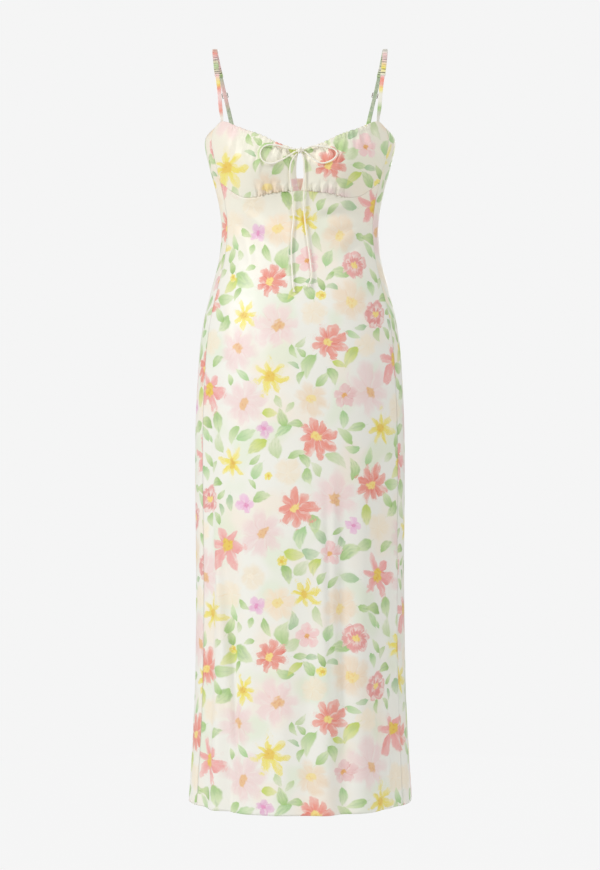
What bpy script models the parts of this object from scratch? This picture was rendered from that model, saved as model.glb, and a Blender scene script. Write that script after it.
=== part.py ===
"""Midi slip dress with gathered tie cups and thin adjustable straps, filled out as on a general figure.

Metres, +Z up. The front faces -Y and the wearer's left is +X. The origin is midway between the shoulders,
at the height where the underside of the straps rests on them.
"""

import math

import bmesh
import bpy
from mathutils import Matrix, Vector

MM = 0.001
TURN = 2.0 * math.pi

# Cloth
WALL = 1.2 * MM
SEAM_GAP = 0.3 * MM
SIDE_SEAM = math.radians(66.8)
HEM_HEIGHT = -1.241

# The figure that the dress is cut for, from the strap level down to the hem
SECTION_COLUMNS = ("height", "half_width", "front_depth", "back_depth")
SECTIONS = (
    (-0.120, 0.1468, 0.088, 0.086),
    (-0.152, 0.1578, 0.097, 0.093),
    (-0.190, 0.1512, 0.099, 0.096),
    (-0.232, 0.1400, 0.093, 0.089),
    (-0.262, 0.1335, 0.088, 0.083),
    (-0.298, 0.1300, 0.086, 0.082),
    (-0.348, 0.1345, 0.092, 0.090),
    (-0.400, 0.1475, 0.104, 0.108),
    (-0.448, 0.1594, 0.113, 0.122),
    (-0.514, 0.1677, 0.119, 0.132),
    (-0.647, 0.1735, 0.124, 0.136),
    (-0.912, 0.1723, 0.127, 0.134),
    (-1.078, 0.1751, 0.133, 0.137),
    (HEM_HEIGHT, 0.1843, 0.142, 0.144),
)

# Fullness of the cups: two rounds over the section, each centred beside the keyhole
BUST_OFFSET = 0.074
BUST_HEIGHT = -0.203
BUST_RISE = 0.024
BUST_WIDTH = 0.052
BUST_DROP = 0.047

# Seams and edges, by the angle from the centre front
NECKLINE_COLUMNS = ("angle", "height")
NECKLINE = (
    (0.0, -0.1815),
    (14.0, -0.1685),
    (23.0, -0.1560),
    (33.0, -0.1460),
    (46.0, -0.1335),
    (54.0, -0.1272),
    (61.0, -0.1262),
    (66.8, -0.1350),
)
UNDERBUST_COLUMNS = ("angle", "height")
UNDERBUST = (
    (0.0, -0.2445),
    (18.0, -0.2485),
    (36.0, -0.2545),
    (48.0, -0.2490),
    (60.0, -0.2335),
    (66.8, -0.2245),
)
BACK_EDGE_COLUMNS = ("angle", "height")
BACK_EDGE = (
    (66.8, -0.1350),
    (76.0, -0.1425),
    (90.0, -0.1530),
    (106.0, -0.1690),
    (126.0, -0.1870),
    (150.0, -0.1965),
    (180.0, -0.1990),
)
KEYHOLE_END_GAP = 1.5 * MM
KEYHOLE_SWELL = 4.6 * MM

# Gathers: ridges raised in the outer face of the cups
CUP_GATHERS = 16
GATHER_HEIGHT = 2.6 * MM
GATHER_FALL = 19.0 * MM
CASING_HEIGHT = 0.5 * MM
CASING_DEPTH = 7.0 * MM

# Soft folds that hang from hip and thigh; a negative depth is a trough
FOLD_COLUMNS = ("angle", "spread", "depth", "starts", "full")
FOLDS = (
    (-59.0, 6.5, -0.0055, -0.56, -0.80),
    (-48.0, 5.5, 0.0060, -0.66, -0.98),
    (-40.0, 5.0, -0.0070, -0.70, -1.00),
    (-27.0, 7.0, 0.0030, -0.78, -1.10),
    (-12.0, 6.0, 0.0025, -0.86, -1.20),
    (3.0, 8.0, -0.0030, -0.72, -1.05),
    (13.0, 6.0, 0.0035, -0.66, -0.95),
    (22.5, 5.5, -0.0060, -0.64, -0.95),
    (34.0, 7.0, 0.0035, -0.70, -1.05),
    (50.0, 6.0, -0.0040, -0.52, -0.85),
    (60.0, 5.5, -0.0060, -0.80, -1.12),
    (101.0, 7.0, 0.0050, -0.60, -1.00),
    (116.0, 7.5, -0.0065, -0.62, -1.00),
    (133.0, 7.0, 0.0050, -0.70, -1.08),
    (151.0, 8.0, -0.0060, -0.60, -0.98),
    (169.0, 7.0, 0.0045, -0.72, -1.05),
    (186.0, 8.0, -0.0060, -0.62, -1.00),
    (205.0, 7.0, 0.0050, -0.68, -1.10),
    (223.0, 8.0, -0.0065, -0.58, -0.96),
    (243.0, 7.0, 0.0050, -0.66, -1.04),
    (259.0, 7.5, -0.0050, -0.64, -1.00),
)

# Straps, drawn for the +X side and mirrored for the other
STRAP_WIDTH = 6.4 * MM
STRAP_THICK = 1.0 * MM
RUCHED_WIDTH = 8.4 * MM
RUCHED_THICK = 2.2 * MM
RUCHES = 13
RUCHE_HEIGHT = 0.8 * MM
STRAP_INSET = 9.0 * MM
FRONT_STRAP_ANGLE = math.radians(60.5)
FRONT_STRAP_COLUMNS = ("x", "y", "z")
FRONT_STRAP = (
    (0.1298, -0.0480, -0.1040),
    (0.1310, -0.0475, -0.0880),
    (0.1328, -0.0440, -0.0685),
    (0.1358, -0.0360, -0.0485),
)
SHOULDER_COLUMNS = ("x", "y", "z")
SHOULDER = (
    (0.1358, -0.0360, -0.0485),
    (0.1388, -0.0240, -0.0230),
    (0.1405, -0.0130, -0.0075),
    (0.1412, 0.0000, 0.0011),
    (0.1400, 0.0140, -0.0060),
    (0.1372, 0.0270, -0.0195),
    (0.1331, 0.0385, -0.0365),
)
BACK_STRAP_COLUMNS = ("x", "y", "z")
BACK_STRAP = (
    (0.1331, 0.0385, -0.0365),
    (0.1264, 0.0535, -0.0660),
    (0.1192, 0.0640, -0.0950),
    (0.1120, 0.0700, -0.1250),
    (0.1035, 0.0722, -0.1540),
    (0.0975, 0.0722, -0.1770),
    (0.0950, 0.0712, -0.1950),
)
JOIN_GAP = 0.4 * MM
TWIST_LENGTH = 0.030

# Strap hardware
SLIDER_DROP = 0.033
RING_DROP = 0.146
BAR_RADIUS = 0.7 * MM
LOOP_RADIUS = 1.5 * MM
SLIDER_WIDTH = 10.6 * MM
SLIDER_LENGTH = 8.6 * MM
SLIDER_THICK = 0.8 * MM
SLIDER_LIFT = 2.8 * MM
SLIDER_BAR = 0.8 * MM
RING_WIDTH = 9.6 * MM
RING_LENGTH = 5.2 * MM
WRAP_RADIUS = 1.4 * MM

# Tie: x and z on the front of the dress, and how far the cord's middle stands off the cloth
CORD_RADIUS = 1.3 * MM
CORD_STEP = 6.5 * MM
KNOT_HEIGHT = -0.1822
KNOT_LIFT = 6.4 * MM
KNOT_HALF = (7.4 * MM, 4.6 * MM, 5.2 * MM)
TIP_RADIUS = 2.2 * MM
ROUTE_COLUMNS = ("x", "z", "lift")
TIE_ROUTES = {
    "tie_loop_left": (
        (-0.0010, -0.1829, 0.0064),
        (-0.0075, -0.1846, 0.0062),
        (-0.0150, -0.1893, 0.0056),
        (-0.0224, -0.1941, 0.0044),
        (-0.0320, -0.1995, 0.0032),
        (-0.0432, -0.2038, 0.0030),
        (-0.0540, -0.2032, 0.0030),
        (-0.0614, -0.1970, 0.0030),
        (-0.0636, -0.1885, 0.0032),
        (-0.0606, -0.1800, 0.0036),
        (-0.0532, -0.1748, 0.0040),
        (-0.0432, -0.1738, 0.0046),
        (-0.0320, -0.1757, 0.0054),
        (-0.0208, -0.1787, 0.0062),
        (-0.0105, -0.1806, 0.0068),
        (-0.0010, -0.1815, 0.0068),
    ),
    "tie_loop_right": (
        (0.0010, -0.1829, 0.0062),
        (0.0080, -0.1852, 0.0060),
        (0.0158, -0.1922, 0.0054),
        (0.0248, -0.1993, 0.0040),
        (0.0360, -0.2033, 0.0031),
        (0.0470, -0.2010, 0.0030),
        (0.0555, -0.1955, 0.0030),
        (0.0592, -0.1885, 0.0030),
        (0.0556, -0.1822, 0.0034),
        (0.0464, -0.1788, 0.0038),
        (0.0360, -0.1766, 0.0044),
        (0.0248, -0.1757, 0.0052),
        (0.0160, -0.1772, 0.0062),
        (0.0090, -0.1800, 0.0068),
        (0.0010, -0.1813, 0.0068),
    ),
    "tie_tail_left": (
        (-0.0012, -0.1835, 0.0058),
        (-0.0062, -0.1890, 0.0044),
        (-0.0108, -0.1948, 0.0034),
        (-0.0144, -0.2020, 0.0030),
        (-0.0160, -0.2115, 0.0030),
        (-0.0157, -0.2265, 0.0032),
        (-0.0139, -0.2420, 0.0034),
        (-0.0112, -0.2585, 0.0036),
        (-0.0104, -0.2775, 0.0030),
        (-0.0108, -0.2965, 0.0028),
        (-0.0127, -0.3125, 0.0028),
        (-0.0139, -0.3335, 0.0028),
        (-0.0138, -0.3545, 0.0028),
        (-0.0128, -0.3735, 0.0028),
        (-0.0115, -0.3915, 0.0028),
        (-0.0101, -0.4050, 0.0032),
    ),
    "tie_tail_right": (
        (0.0012, -0.1835, 0.0058),
        (0.0042, -0.1900, 0.0042),
        (0.0060, -0.1980, 0.0036),
        (0.0065, -0.2090, 0.0034),
        (0.0069, -0.2260, 0.0034),
        (0.0067, -0.2440, 0.0034),
        (0.0057, -0.2625, 0.0034),
        (0.0068, -0.2805, 0.0029),
        (0.0086, -0.2980, 0.0028),
        (0.0107, -0.3145, 0.0028),
        (0.0128, -0.3305, 0.0028),
        (0.0149, -0.3465, 0.0028),
        (0.0168, -0.3625, 0.0028),
        (0.0183, -0.3765, 0.0028),
        (0.0176, -0.3880, 0.0028),
        (0.0142, -0.3972, 0.0032),
    ),
}

# Concealed zip, a tape behind the wearer's left side seam
ZIP_TOP = -0.138
ZIP_BOTTOM = -0.500
ZIP_HALF_WIDTH = 10.0 * MM
ZIP_THICK = 1.2 * MM
ZIP_CLEARANCE = 0.6 * MM

# Mesh density
PANEL_ROWS = 22
FRONT_COLUMNS = 32
BACK_COLUMNS = 36
CUP_ROWS = 9


def column(columns, rows, name):
    """One named column of a table."""
    place = columns.index(name)
    return [row[place] for row in rows]


def smooth_value(stations, values, at):
    """A smooth curve through the values, held level past both ends."""
    rising = stations[-1] > stations[0]
    order = list(range(len(stations))) if rising else list(range(len(stations) - 1, -1, -1))
    xs = [stations[i] for i in order]
    ys = [values[i] for i in order]
    if at <= xs[0]:
        return ys[0]
    if at >= xs[-1]:
        return ys[-1]
    k = max(i for i in range(len(xs) - 1) if xs[i] <= at)
    span = xs[k + 1] - xs[k]

    def slope(i):
        low, high = max(i - 1, 0), min(i + 1, len(xs) - 1)
        return (ys[high] - ys[low]) / (xs[high] - xs[low])

    t = (at - xs[k]) / span
    return (
        (2 * t**3 - 3 * t**2 + 1) * ys[k]
        + (t**3 - 2 * t**2 + t) * span * slope(k)
        + (3 * t**2 - 2 * t**3) * ys[k + 1]
        + (t**3 - t**2) * span * slope(k + 1)
    )


def section(height, name):
    """A size of the figure at a height."""
    heights = column(SECTION_COLUMNS, SECTIONS, "height")
    return smooth_value(heights, column(SECTION_COLUMNS, SECTIONS, name), height)


def edge_height(columns, rows, angle):
    """Height of a seam or edge at an angle from the centre front, in radians."""
    return smooth_value(column(columns, rows, "angle"), column(columns, rows, "height"), math.degrees(abs(angle)))


def underbust_height(angle):
    """Height of the underbust seam, straight between the columns of the front panel."""
    column_width = 2.0 * SIDE_SEAM / FRONT_COLUMNS
    place = min(abs(angle), SIDE_SEAM) / column_width
    low = min(int(place), FRONT_COLUMNS // 2 - 1)
    near, far = (edge_height(UNDERBUST_COLUMNS, UNDERBUST, column_width * i) for i in (low, low + 1))
    return near + (far - near) * (place - low)


def ease(t):
    """0 to 1 with level ends."""
    t = min(1.0, max(0.0, t))
    return t * t * (3.0 - 2.0 * t)


def bust_rise(x, height):
    """How far the cups stand forward of the plain section."""
    across = (abs(x) - BUST_OFFSET) / BUST_WIDTH
    down = (height - BUST_HEIGHT) / BUST_DROP
    return BUST_RISE * math.exp(-across * across - down * down)


def fold_rise(angle, height):
    """How far the hanging folds stand out of the plain section."""
    turn = math.degrees(angle)
    rise = 0.0
    for fold in FOLDS:
        row = dict(zip(FOLD_COLUMNS, fold))
        away = (turn - row["angle"] + 180.0) % 360.0 - 180.0
        share = ease((row["starts"] - height) / (row["starts"] - row["full"]))
        rise += row["depth"] * share * math.exp(-((away / row["spread"]) ** 2))
    return rise


def body_point(angle, height):
    """Outer face of the smooth cloth at an angle from the centre front."""
    depth = section(height, "front_depth" if math.cos(angle) > 0 else "back_depth")
    x = section(height, "half_width") * math.sin(angle)
    y = -depth * math.cos(angle)
    if math.cos(angle) > 0:
        y -= bust_rise(x, height)
    rise = fold_rise(angle, height)
    return Vector((x + rise * math.sin(angle), y - rise * math.cos(angle), height))


def body_normal(angle, height):
    """Outward normal of the smooth cloth."""
    step_angle, step_height = 0.004, 0.0008
    across = body_point(angle + step_angle, height) - body_point(angle - step_angle, height)
    up = body_point(angle, height + step_height) - body_point(angle, height - step_height)
    return across.cross(up).normalized()


def front_point(x, height, lift):
    """A point that stands off the front of the dress, given its x and height."""
    angle = math.asin(x / section(height, "half_width"))
    return body_point(angle, height) + Vector((0.0, -lift, 0.0))


def cup_share(row):
    """How far up the cup a row is: closer together at the seam and at the edge."""
    return 0.5 - 0.5 * math.cos(math.pi * row / CUP_ROWS)


def side_seam_heights():
    """Heights of the rows along a side seam, from the armhole to the hem, the same for every piece sewn there."""
    seam = underbust_height(SIDE_SEAM)
    edge = edge_height(NECKLINE_COLUMNS, NECKLINE, SIDE_SEAM)
    heights = [seam + (edge - seam) * cup_share(row) for row in range(CUP_ROWS, 0, -1)]
    for row in range(PANEL_ROWS + 1):
        share = row / PANEL_ROWS
        heights.append(seam + (HEM_HEIGHT - seam) * (0.42 * share + 0.58 * share * share))
    return heights


def panel_height(v, top, heights):
    """Height of a panel's row: the side seam's rows, drawn in to the panel's own top edge."""
    height = heights[round((1.0 - v) * (len(heights) - 1))]
    return HEM_HEIGHT + (top - HEM_HEIGHT) * (height - HEM_HEIGHT) / (heights[0] - HEM_HEIGHT)


def add_object(name, data, colour, roughness, metallic=0.0):
    """An object in the dress's collection, with its own material."""
    obj = bpy.data.objects.new(name, data)
    DRESS.objects.link(obj)
    material = bpy.data.materials.new(name + "_finish")
    material.use_nodes = True
    shader = material.node_tree.nodes["Principled BSDF"]
    shader.inputs["Base Color"].default_value = (*colour, 1.0)
    shader.inputs["Roughness"].default_value = roughness
    shader.inputs["Metallic"].default_value = metallic
    data.materials.append(material)
    return obj


SATIN = (0.86, 0.85, 0.78)
CORD_SATIN = (0.88, 0.85, 0.76)
METAL = (0.72, 0.70, 0.66)


def wall(name, columns, rows, outer, inner, colour=SATIN):
    """A closed wall: a grid laid on the outer face, extruded to the inner face. Both faces are functions of (u, v)."""
    mesh = bpy.data.meshes.new(name)
    shape = bmesh.new()
    bmesh.ops.create_grid(shape, x_segments=columns, y_segments=rows, size=0.5)
    grid = {vert: (vert.co.x + 0.5, vert.co.y + 0.5) for vert in shape.verts}
    skin = bmesh.ops.extrude_face_region(shape, geom=shape.faces[:])["geom"]
    new_verts = [item for item in skin if isinstance(item, bmesh.types.BMVert)]
    back = {vert: (vert.co.x + 0.5, vert.co.y + 0.5) for vert in new_verts}
    for vert, (u, v) in grid.items():
        vert.co = inner(u, v)
    for vert, (u, v) in back.items():
        vert.co = outer(u, v)
    bmesh.ops.recalc_face_normals(shape, faces=shape.faces[:])
    if shape.calc_volume(signed=True) < 0:
        bmesh.ops.reverse_faces(shape, faces=shape.faces[:])
    shape.to_mesh(mesh)
    shape.free()
    mesh.shade_smooth()
    mesh.set_sharp_from_angle(angle=math.radians(50))
    return add_object(name, mesh, colour, 0.45)


def make_panel(name, first, last, columns, top_edge, heights):
    """Front or back: one long panel from its top edge to the hem, between two side seams."""

    def place(u, v):
        angle = first + (last - first) * u
        return angle, panel_height(v, top_edge(angle), heights)

    def outer(u, v):
        return body_point(*place(u, v))

    def inner(u, v):
        angle, height = place(u, v)
        return body_point(angle, height) - body_normal(angle, height) * WALL

    return wall(name, columns, len(heights) - 1, outer, inner)


def seam_angle(height):
    """Half of the gap at a side seam, as an angle."""
    return 0.5 * SEAM_GAP / section(height, "half_width")


def make_panels():
    """The front hangs from the underbust seam, the back from its own top edge."""
    gap = seam_angle(-0.3)
    first, last = -SIDE_SEAM + gap, SIDE_SEAM - gap

    def front_top(angle):
        return underbust_height(angle) - 0.5 * SEAM_GAP

    def back_top(angle):
        turned = math.pi - abs(math.pi - angle)
        return edge_height(BACK_EDGE_COLUMNS, BACK_EDGE, turned)

    heights = side_seam_heights()
    make_panel("front_panel", first, last, FRONT_COLUMNS, front_top, heights[CUP_ROWS:])
    make_panel("back_panel", SIDE_SEAM + gap, TURN - SIDE_SEAM - gap, BACK_COLUMNS, back_top, heights)


def gather_rise(u, above_seam, below_edge):
    """Ridges of the gathers: strongest at the neckline casing and at the underbust seam near the centre."""
    ridge = 0.5 - 0.5 * math.cos(TURN * CUP_GATHERS * u)
    uneven = 0.62 + 0.38 * math.sin(19.0 * u + 0.6)
    reach = GATHER_FALL * (0.7 + 0.6 * abs(math.sin(11.0 * u)))
    top_share = ease((0.93 - u) / 0.10) * math.exp(-below_edge / reach)
    seam_share = ease(u / 0.06) * ease((0.66 - u) / 0.15) * math.exp(-above_seam / (0.75 * reach))
    casing = CASING_HEIGHT * ease((0.95 - u) / 0.08) * ease(1.0 - below_edge / CASING_DEPTH)
    return GATHER_HEIGHT * ridge * uneven * max(top_share, seam_share) + casing


def make_cup(name, side):
    """One bust cup, from the keyhole to the side seam, between the underbust seam and the neckline."""
    last = SIDE_SEAM - seam_angle(-0.2)

    def place(u, v):
        nominal = last * u
        seam = underbust_height(nominal) + 0.5 * SEAM_GAP
        edge = edge_height(NECKLINE_COLUMNS, NECKLINE, nominal)
        share = cup_share(round(v * CUP_ROWS))
        height = seam + (edge - seam) * share
        opening = KEYHOLE_END_GAP + KEYHOLE_SWELL * math.sin(math.pi * share) ** 0.8
        start = math.asin(opening / section(height, "half_width"))
        angle = start + (last - start) * nominal / last
        return side * angle, height, height - seam, edge - height

    def outer(u, v):
        angle, height, above_seam, below_edge = place(u, v)
        rise = gather_rise(u, above_seam, below_edge)
        return body_point(angle, height) + body_normal(angle, height) * rise

    def inner(u, v):
        angle, height = place(u, v)[:2]
        return body_point(angle, height) - body_normal(angle, height) * WALL

    return wall(name, 2 * CUP_GATHERS, CUP_ROWS, outer, inner)


def smooth_path(points, step):
    """Evenly spaced points on a smooth curve through the given ones, with the end points kept."""
    points = [Vector(p) for p in points]
    reach = [0.0]
    for a, b in zip(points, points[1:]):
        reach.append(reach[-1] + (b - a).length)
    fine_count = 40 * (len(points) - 1)
    fine = []
    for i in range(fine_count + 1):
        at = reach[-1] * i / fine_count
        fine.append(Vector([smooth_value(reach, [p[axis] for p in points], at) for axis in range(3)]))
    length = [0.0]
    for a, b in zip(fine, fine[1:]):
        length.append(length[-1] + (b - a).length)
    count = max(2, round(length[-1] / step))
    path, k = [], 0
    for i in range(count + 1):
        at = length[-1] * i / count
        while k < len(fine) - 2 and length[k + 1] < at:
            k += 1
        share = (at - length[k]) / (length[k + 1] - length[k])
        path.append(fine[k].lerp(fine[k + 1], share))
    return path


def path_frame(path, i, level=Vector((1.0, 0.0, 0.0))):
    """Tangent, across and outward directions of a strap whose width lies along a level direction."""
    tangent = (path[min(i + 1, len(path) - 1)] - path[max(i - 1, 0)]).normalized()
    across = (level - tangent * level.dot(tangent)).normalized()
    return tangent, across, across.cross(tangent)


def along_wall(angle, height):
    """Level direction along the cloth, pointing to +X."""
    direction = (body_point(angle + 0.02, height) - body_point(angle - 0.02, height)).normalized()
    return direction if direction.x > 0 else -direction


def make_band(name, centres, acrosses, width, thick, ridges=None):
    """A flat strap along its middle line. ridges(share) raises its outer face."""
    count = len(centres) - 1

    def station(v):
        i = min(count, max(0, round(v * count)))
        tangent = (centres[min(i + 1, count)] - centres[max(i - 1, 0)]).normalized()
        return centres[i], acrosses[i], acrosses[i].cross(tangent).normalized()

    def face(u, v, sign):
        centre, across, out = station(v)
        rise = ridges(v) * (1.0 - 0.5 * abs(2.0 * u - 1.0)) if ridges else 0.0
        return centre + across * (width * (u - 0.5)) + out * sign * (0.5 * thick + rise)

    return wall(name, 2, count, lambda u, v: face(u, v, 1.0), lambda u, v: face(u, v, -1.0))


def mirrored(points, side):
    """A +X table of points as vectors, on the asked side."""
    return [Vector((side * x, y, z)) for x, y, z in points]


def cup_inside(angle, height, depth):
    """A point inside the cup's wall, a depth below its inner face."""
    return body_point(angle, height) - body_normal(angle, height) * (WALL + depth)


def make_front_strap(name, side):
    """Plain strap, sewn inside the cup's top corner and running up to the ruched part."""
    top = edge_height(NECKLINE_COLUMNS, NECKLINE, FRONT_STRAP_ANGLE)
    depth = SEAM_GAP + 0.5 * STRAP_THICK
    sewn = [cup_inside(side * FRONT_STRAP_ANGLE, top - drop, depth) for drop in (STRAP_INSET, 0.5 * STRAP_INSET)]
    edge = cup_inside(side * FRONT_STRAP_ANGLE, top + 2.0 * MM, depth)
    free = mirrored(FRONT_STRAP, side)
    path = smooth_path([*sewn, edge, *free], 5.0 * MM)
    path[-1] = path[-1].lerp(path[-2], JOIN_GAP / (path[-1] - path[-2]).length)
    sewn_level = along_wall(side * FRONT_STRAP_ANGLE, top)
    acrosses = []
    for i, point in enumerate(path):
        level = sewn_level.lerp(Vector((1.0, 0.0, 0.0)), ease((point.z - top) / TWIST_LENGTH))
        acrosses.append(path_frame(path, i, level)[1])
    return make_band(name, path, acrosses, STRAP_WIDTH, STRAP_THICK)


def make_ruched_strap(name, side):
    """Gathered casing over the shoulder, with elastic inside it."""
    route = mirrored(SHOULDER, side)
    fine = smooth_path(route, 0.5 * MM)
    length = 0.5 * MM * (len(fine) - 1)
    path = smooth_path(route, length / (2 * RUCHES))
    acrosses = [path_frame(path, i)[1] for i in range(len(path))]
    count = len(path) - 1

    def ridges(share):
        return RUCHE_HEIGHT * (0.5 - 0.5 * math.cos(math.pi * round(share * count)))

    return make_band(name, path, acrosses, RUCHED_WIDTH, RUCHED_THICK, ridges)


def back_edge_angle(point):
    """Angle of the back's wall beside a point near its top edge."""
    angle = math.pi - math.asin(abs(point.x) / section(point.z, "half_width"))
    return angle if point.x > 0 else TURN - angle


def back_strap_base(side):
    """The back strap's own line with its frames, one point a millimetre, turning to lie along the back's edge."""
    path = smooth_path(mirrored(BACK_STRAP, side), 1.0 * MM)
    sewn_level = along_wall(back_edge_angle(path[-1]), path[-1].z)
    frames = []
    for i in range(len(path)):
        level = Vector((1.0, 0.0, 0.0)).lerp(sewn_level, ease(1.3 * i / len(path)))
        frames.append(path_frame(path, i, level))
    return path, frames


def on_base(base, along, lift):
    """A point a distance along the back strap and a lift out of it."""
    path, frames = base
    i = min(len(path) - 2, max(0, int(along / MM)))
    share = min(1.0, max(-4.0, along / MM - i))
    point = path[i].lerp(path[i + 1], share)
    out = frames[i][2].lerp(frames[i + 1][2], min(1.0, max(0.0, share))).normalized()
    return point + out * lift


def across_base(base, along):
    """Direction across the back strap at a distance along it."""
    path, frames = base
    return frames[min(len(path) - 1, max(0, round(along / MM)))][1]


def half_turn(along, lift, radius, start, end, steps):
    """Places on an arc in the plane of the strap's length and lift, angles from the strap's direction."""
    places = []
    for i in range(steps + 1):
        turn = start + (end - start) * i / steps
        places.append((along + radius * math.cos(turn), lift + radius * math.sin(turn)))
    return places


def make_back_strap(name, base):
    """Strap from the ruched part down to the ring, round it and back up to the slider's middle bar."""
    places = [(JOIN_GAP + 7.0 * MM * i, 0.0) for i in range(int(RING_DROP / (7.0 * MM)) + 1)]
    places += half_turn(RING_DROP, LOOP_RADIUS, LOOP_RADIUS, -0.5 * math.pi, 0.5 * math.pi, 6)
    rise = 2.0 * LOOP_RADIUS
    steps = int((RING_DROP - SLIDER_DROP - 10.0 * MM) / (7.0 * MM))
    places += [(RING_DROP - 7.0 * MM * i, rise) for i in range(1, steps + 1)]
    places += [(SLIDER_DROP + 5.2 * MM, SLIDER_LIFT + WRAP_RADIUS)]
    places += [(SLIDER_DROP + 2.0 * MM, SLIDER_LIFT + WRAP_RADIUS)]
    places += half_turn(SLIDER_DROP, SLIDER_LIFT, WRAP_RADIUS, 0.5 * math.pi, 1.5 * math.pi, 6)
    places += [(SLIDER_DROP + 2.2 * MM, SLIDER_LIFT - WRAP_RADIUS)]
    centres = [on_base(base, along, lift) for along, lift in places]
    acrosses = [across_base(base, along) for along, _ in places]
    return make_band(name, centres, acrosses, STRAP_WIDTH, STRAP_THICK)


def rounded_outline(width, length, radius):
    """Corner points of a rounded rectangle, three to a corner."""
    points = []
    for cx, cy, start in ((1, 1, 0.0), (-1, 1, 0.5), (-1, -1, 1.0), (1, -1, 1.5)):
        for i in range(3):
            turn = math.pi * (start + 0.25 * i)
            x = cx * (0.5 * width - radius) + radius * math.cos(turn)
            y = cy * (0.5 * length - radius) + radius * math.sin(turn)
            points.append((x, y))
    return points


def add_outline(curve, points):
    """A closed straight-sided outline in a curve."""
    spline = curve.splines.new("POLY")
    spline.points.add(len(points) - 1)
    for spot, point in zip(spline.points, points):
        spot.co = (*point, 0.0, 1.0)
    spline.use_cyclic_u = True


def place_flat(obj, base, along, lift):
    """Lays a flat piece in the strap's plane, its own Y along the strap."""
    frames = base[1]
    tangent, across, out = frames[min(len(frames) - 1, round(along / MM))]
    place = on_base(base, along, lift)
    turned = Matrix((across, tangent, out)).transposed()
    obj.matrix_world = Matrix.Translation(place) @ turned.to_4x4()
    return obj


def make_slider(name, base):
    """Strap adjuster: a flat frame with a middle bar between two slots."""
    curve = bpy.data.curves.new(name, "CURVE")
    curve.dimensions = "2D"
    curve.fill_mode = "BOTH"
    curve.extrude = 0.5 * SLIDER_THICK
    add_outline(curve, rounded_outline(SLIDER_WIDTH, SLIDER_LENGTH, 1.2 * MM))
    slot = 0.5 * (SLIDER_LENGTH - 3.0 * SLIDER_BAR)
    for sign in (-1.0, 1.0):
        middle = sign * 0.5 * (SLIDER_BAR + slot)
        hole = rounded_outline(STRAP_WIDTH + 1.6 * MM, slot, 0.4 * MM)
        add_outline(curve, [(x, y + middle) for x, y in hole])
    obj = add_object(name, curve, METAL, 0.25, 1.0)
    return place_flat(obj, base, SLIDER_DROP, SLIDER_LIFT)


def make_ring(name, base):
    """Rectangular wire ring that joins the strap to its tab."""
    curve = bpy.data.curves.new(name, "CURVE")
    curve.dimensions = "3D"
    curve.bevel_depth = BAR_RADIUS
    curve.bevel_resolution = 2
    add_outline(curve, rounded_outline(RING_WIDTH, RING_LENGTH, 1.1 * MM))
    obj = add_object(name, curve, METAL, 0.25, 1.0)
    return place_flat(obj, base, RING_DROP + 0.5 * RING_LENGTH, LOOP_RADIUS)


def make_ring_tab(name, base):
    """Short loop of strap through the ring, its long leg sewn inside the back's top edge."""
    turn_at = RING_DROP + RING_LENGTH
    turned = back_edge_angle(on_base(base, turn_at, LOOP_RADIUS))
    top = edge_height(BACK_EDGE_COLUMNS, BACK_EDGE, math.pi - abs(math.pi - turned))
    depth = SEAM_GAP + 0.5 * STRAP_THICK
    places = half_turn(turn_at, LOOP_RADIUS, LOOP_RADIUS, 0.5 * math.pi, 1.5 * math.pi, 6)
    arc = [on_base(base, along, lift) for along, lift in places]
    outer_leg = body_point(turned, top + 1.2 * MM)
    inner_leg = [cup_inside(turned, top - drop, depth) for drop in (-1.0 * MM, 4.0 * MM, STRAP_INSET)]
    centres = [outer_leg, *arc, *inner_leg]
    acrosses = [across_base(base, turn_at)] * len(centres)
    return make_band(name, centres, acrosses, STRAP_WIDTH, STRAP_THICK)


def clear_of_knot(path, i):
    """Whether a tube ending at a point of the path keeps the seam gap from the knot."""
    tangent = (path[min(i + 1, len(path) - 1)] - path[max(i - 1, 0)]).normalized()
    first = tangent.orthogonal().normalized()
    second = tangent.cross(first)
    centre = front_point(0.0, KNOT_HEIGHT, KNOT_LIFT)
    half = [size + SEAM_GAP for size in KNOT_HALF]
    for k in range(12):
        turn = TURN * k / 12
        rim = path[i] + (first * math.cos(turn) + second * math.sin(turn)) * CORD_RADIUS - centre
        if sum((rim[axis] / half[axis]) ** 2 for axis in range(3)) < 1.0:
            return False
    return True


def make_cord(name):
    """Rouleau cord of the tie, as a round tube along its route, cut off where it meets the knot."""
    fine = smooth_path([front_point(x, z, lift) for x, z, lift in TIE_ROUTES[name]], 0.25 * MM)
    clear = [i for i in range(len(fine)) if clear_of_knot(fine, i)]
    path = smooth_path(fine[clear[0] : clear[-1] + 1], CORD_STEP)
    curve = bpy.data.curves.new(name, "CURVE")
    curve.dimensions = "3D"
    curve.bevel_depth = CORD_RADIUS
    curve.bevel_resolution = 2
    curve.use_fill_caps = True
    spline = curve.splines.new("POLY")
    spline.points.add(len(path) - 1)
    for spot, point in zip(spline.points, path):
        spot.co = (*point, 1.0)
    add_object(name, curve, CORD_SATIN, 0.45)
    return path


def make_blob(name, centre, half):
    """A small tied knot as one rounded solid."""
    mesh = bpy.data.meshes.new(name)
    shape = bmesh.new()
    bmesh.ops.create_uvsphere(shape, u_segments=12, v_segments=8, radius=1.0)
    for vert in shape.verts:
        vert.co = centre + Vector([vert.co[axis] * half[axis] for axis in range(3)])
    shape.to_mesh(mesh)
    shape.free()
    mesh.shade_smooth()
    return add_object(name, mesh, CORD_SATIN, 0.45)


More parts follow.
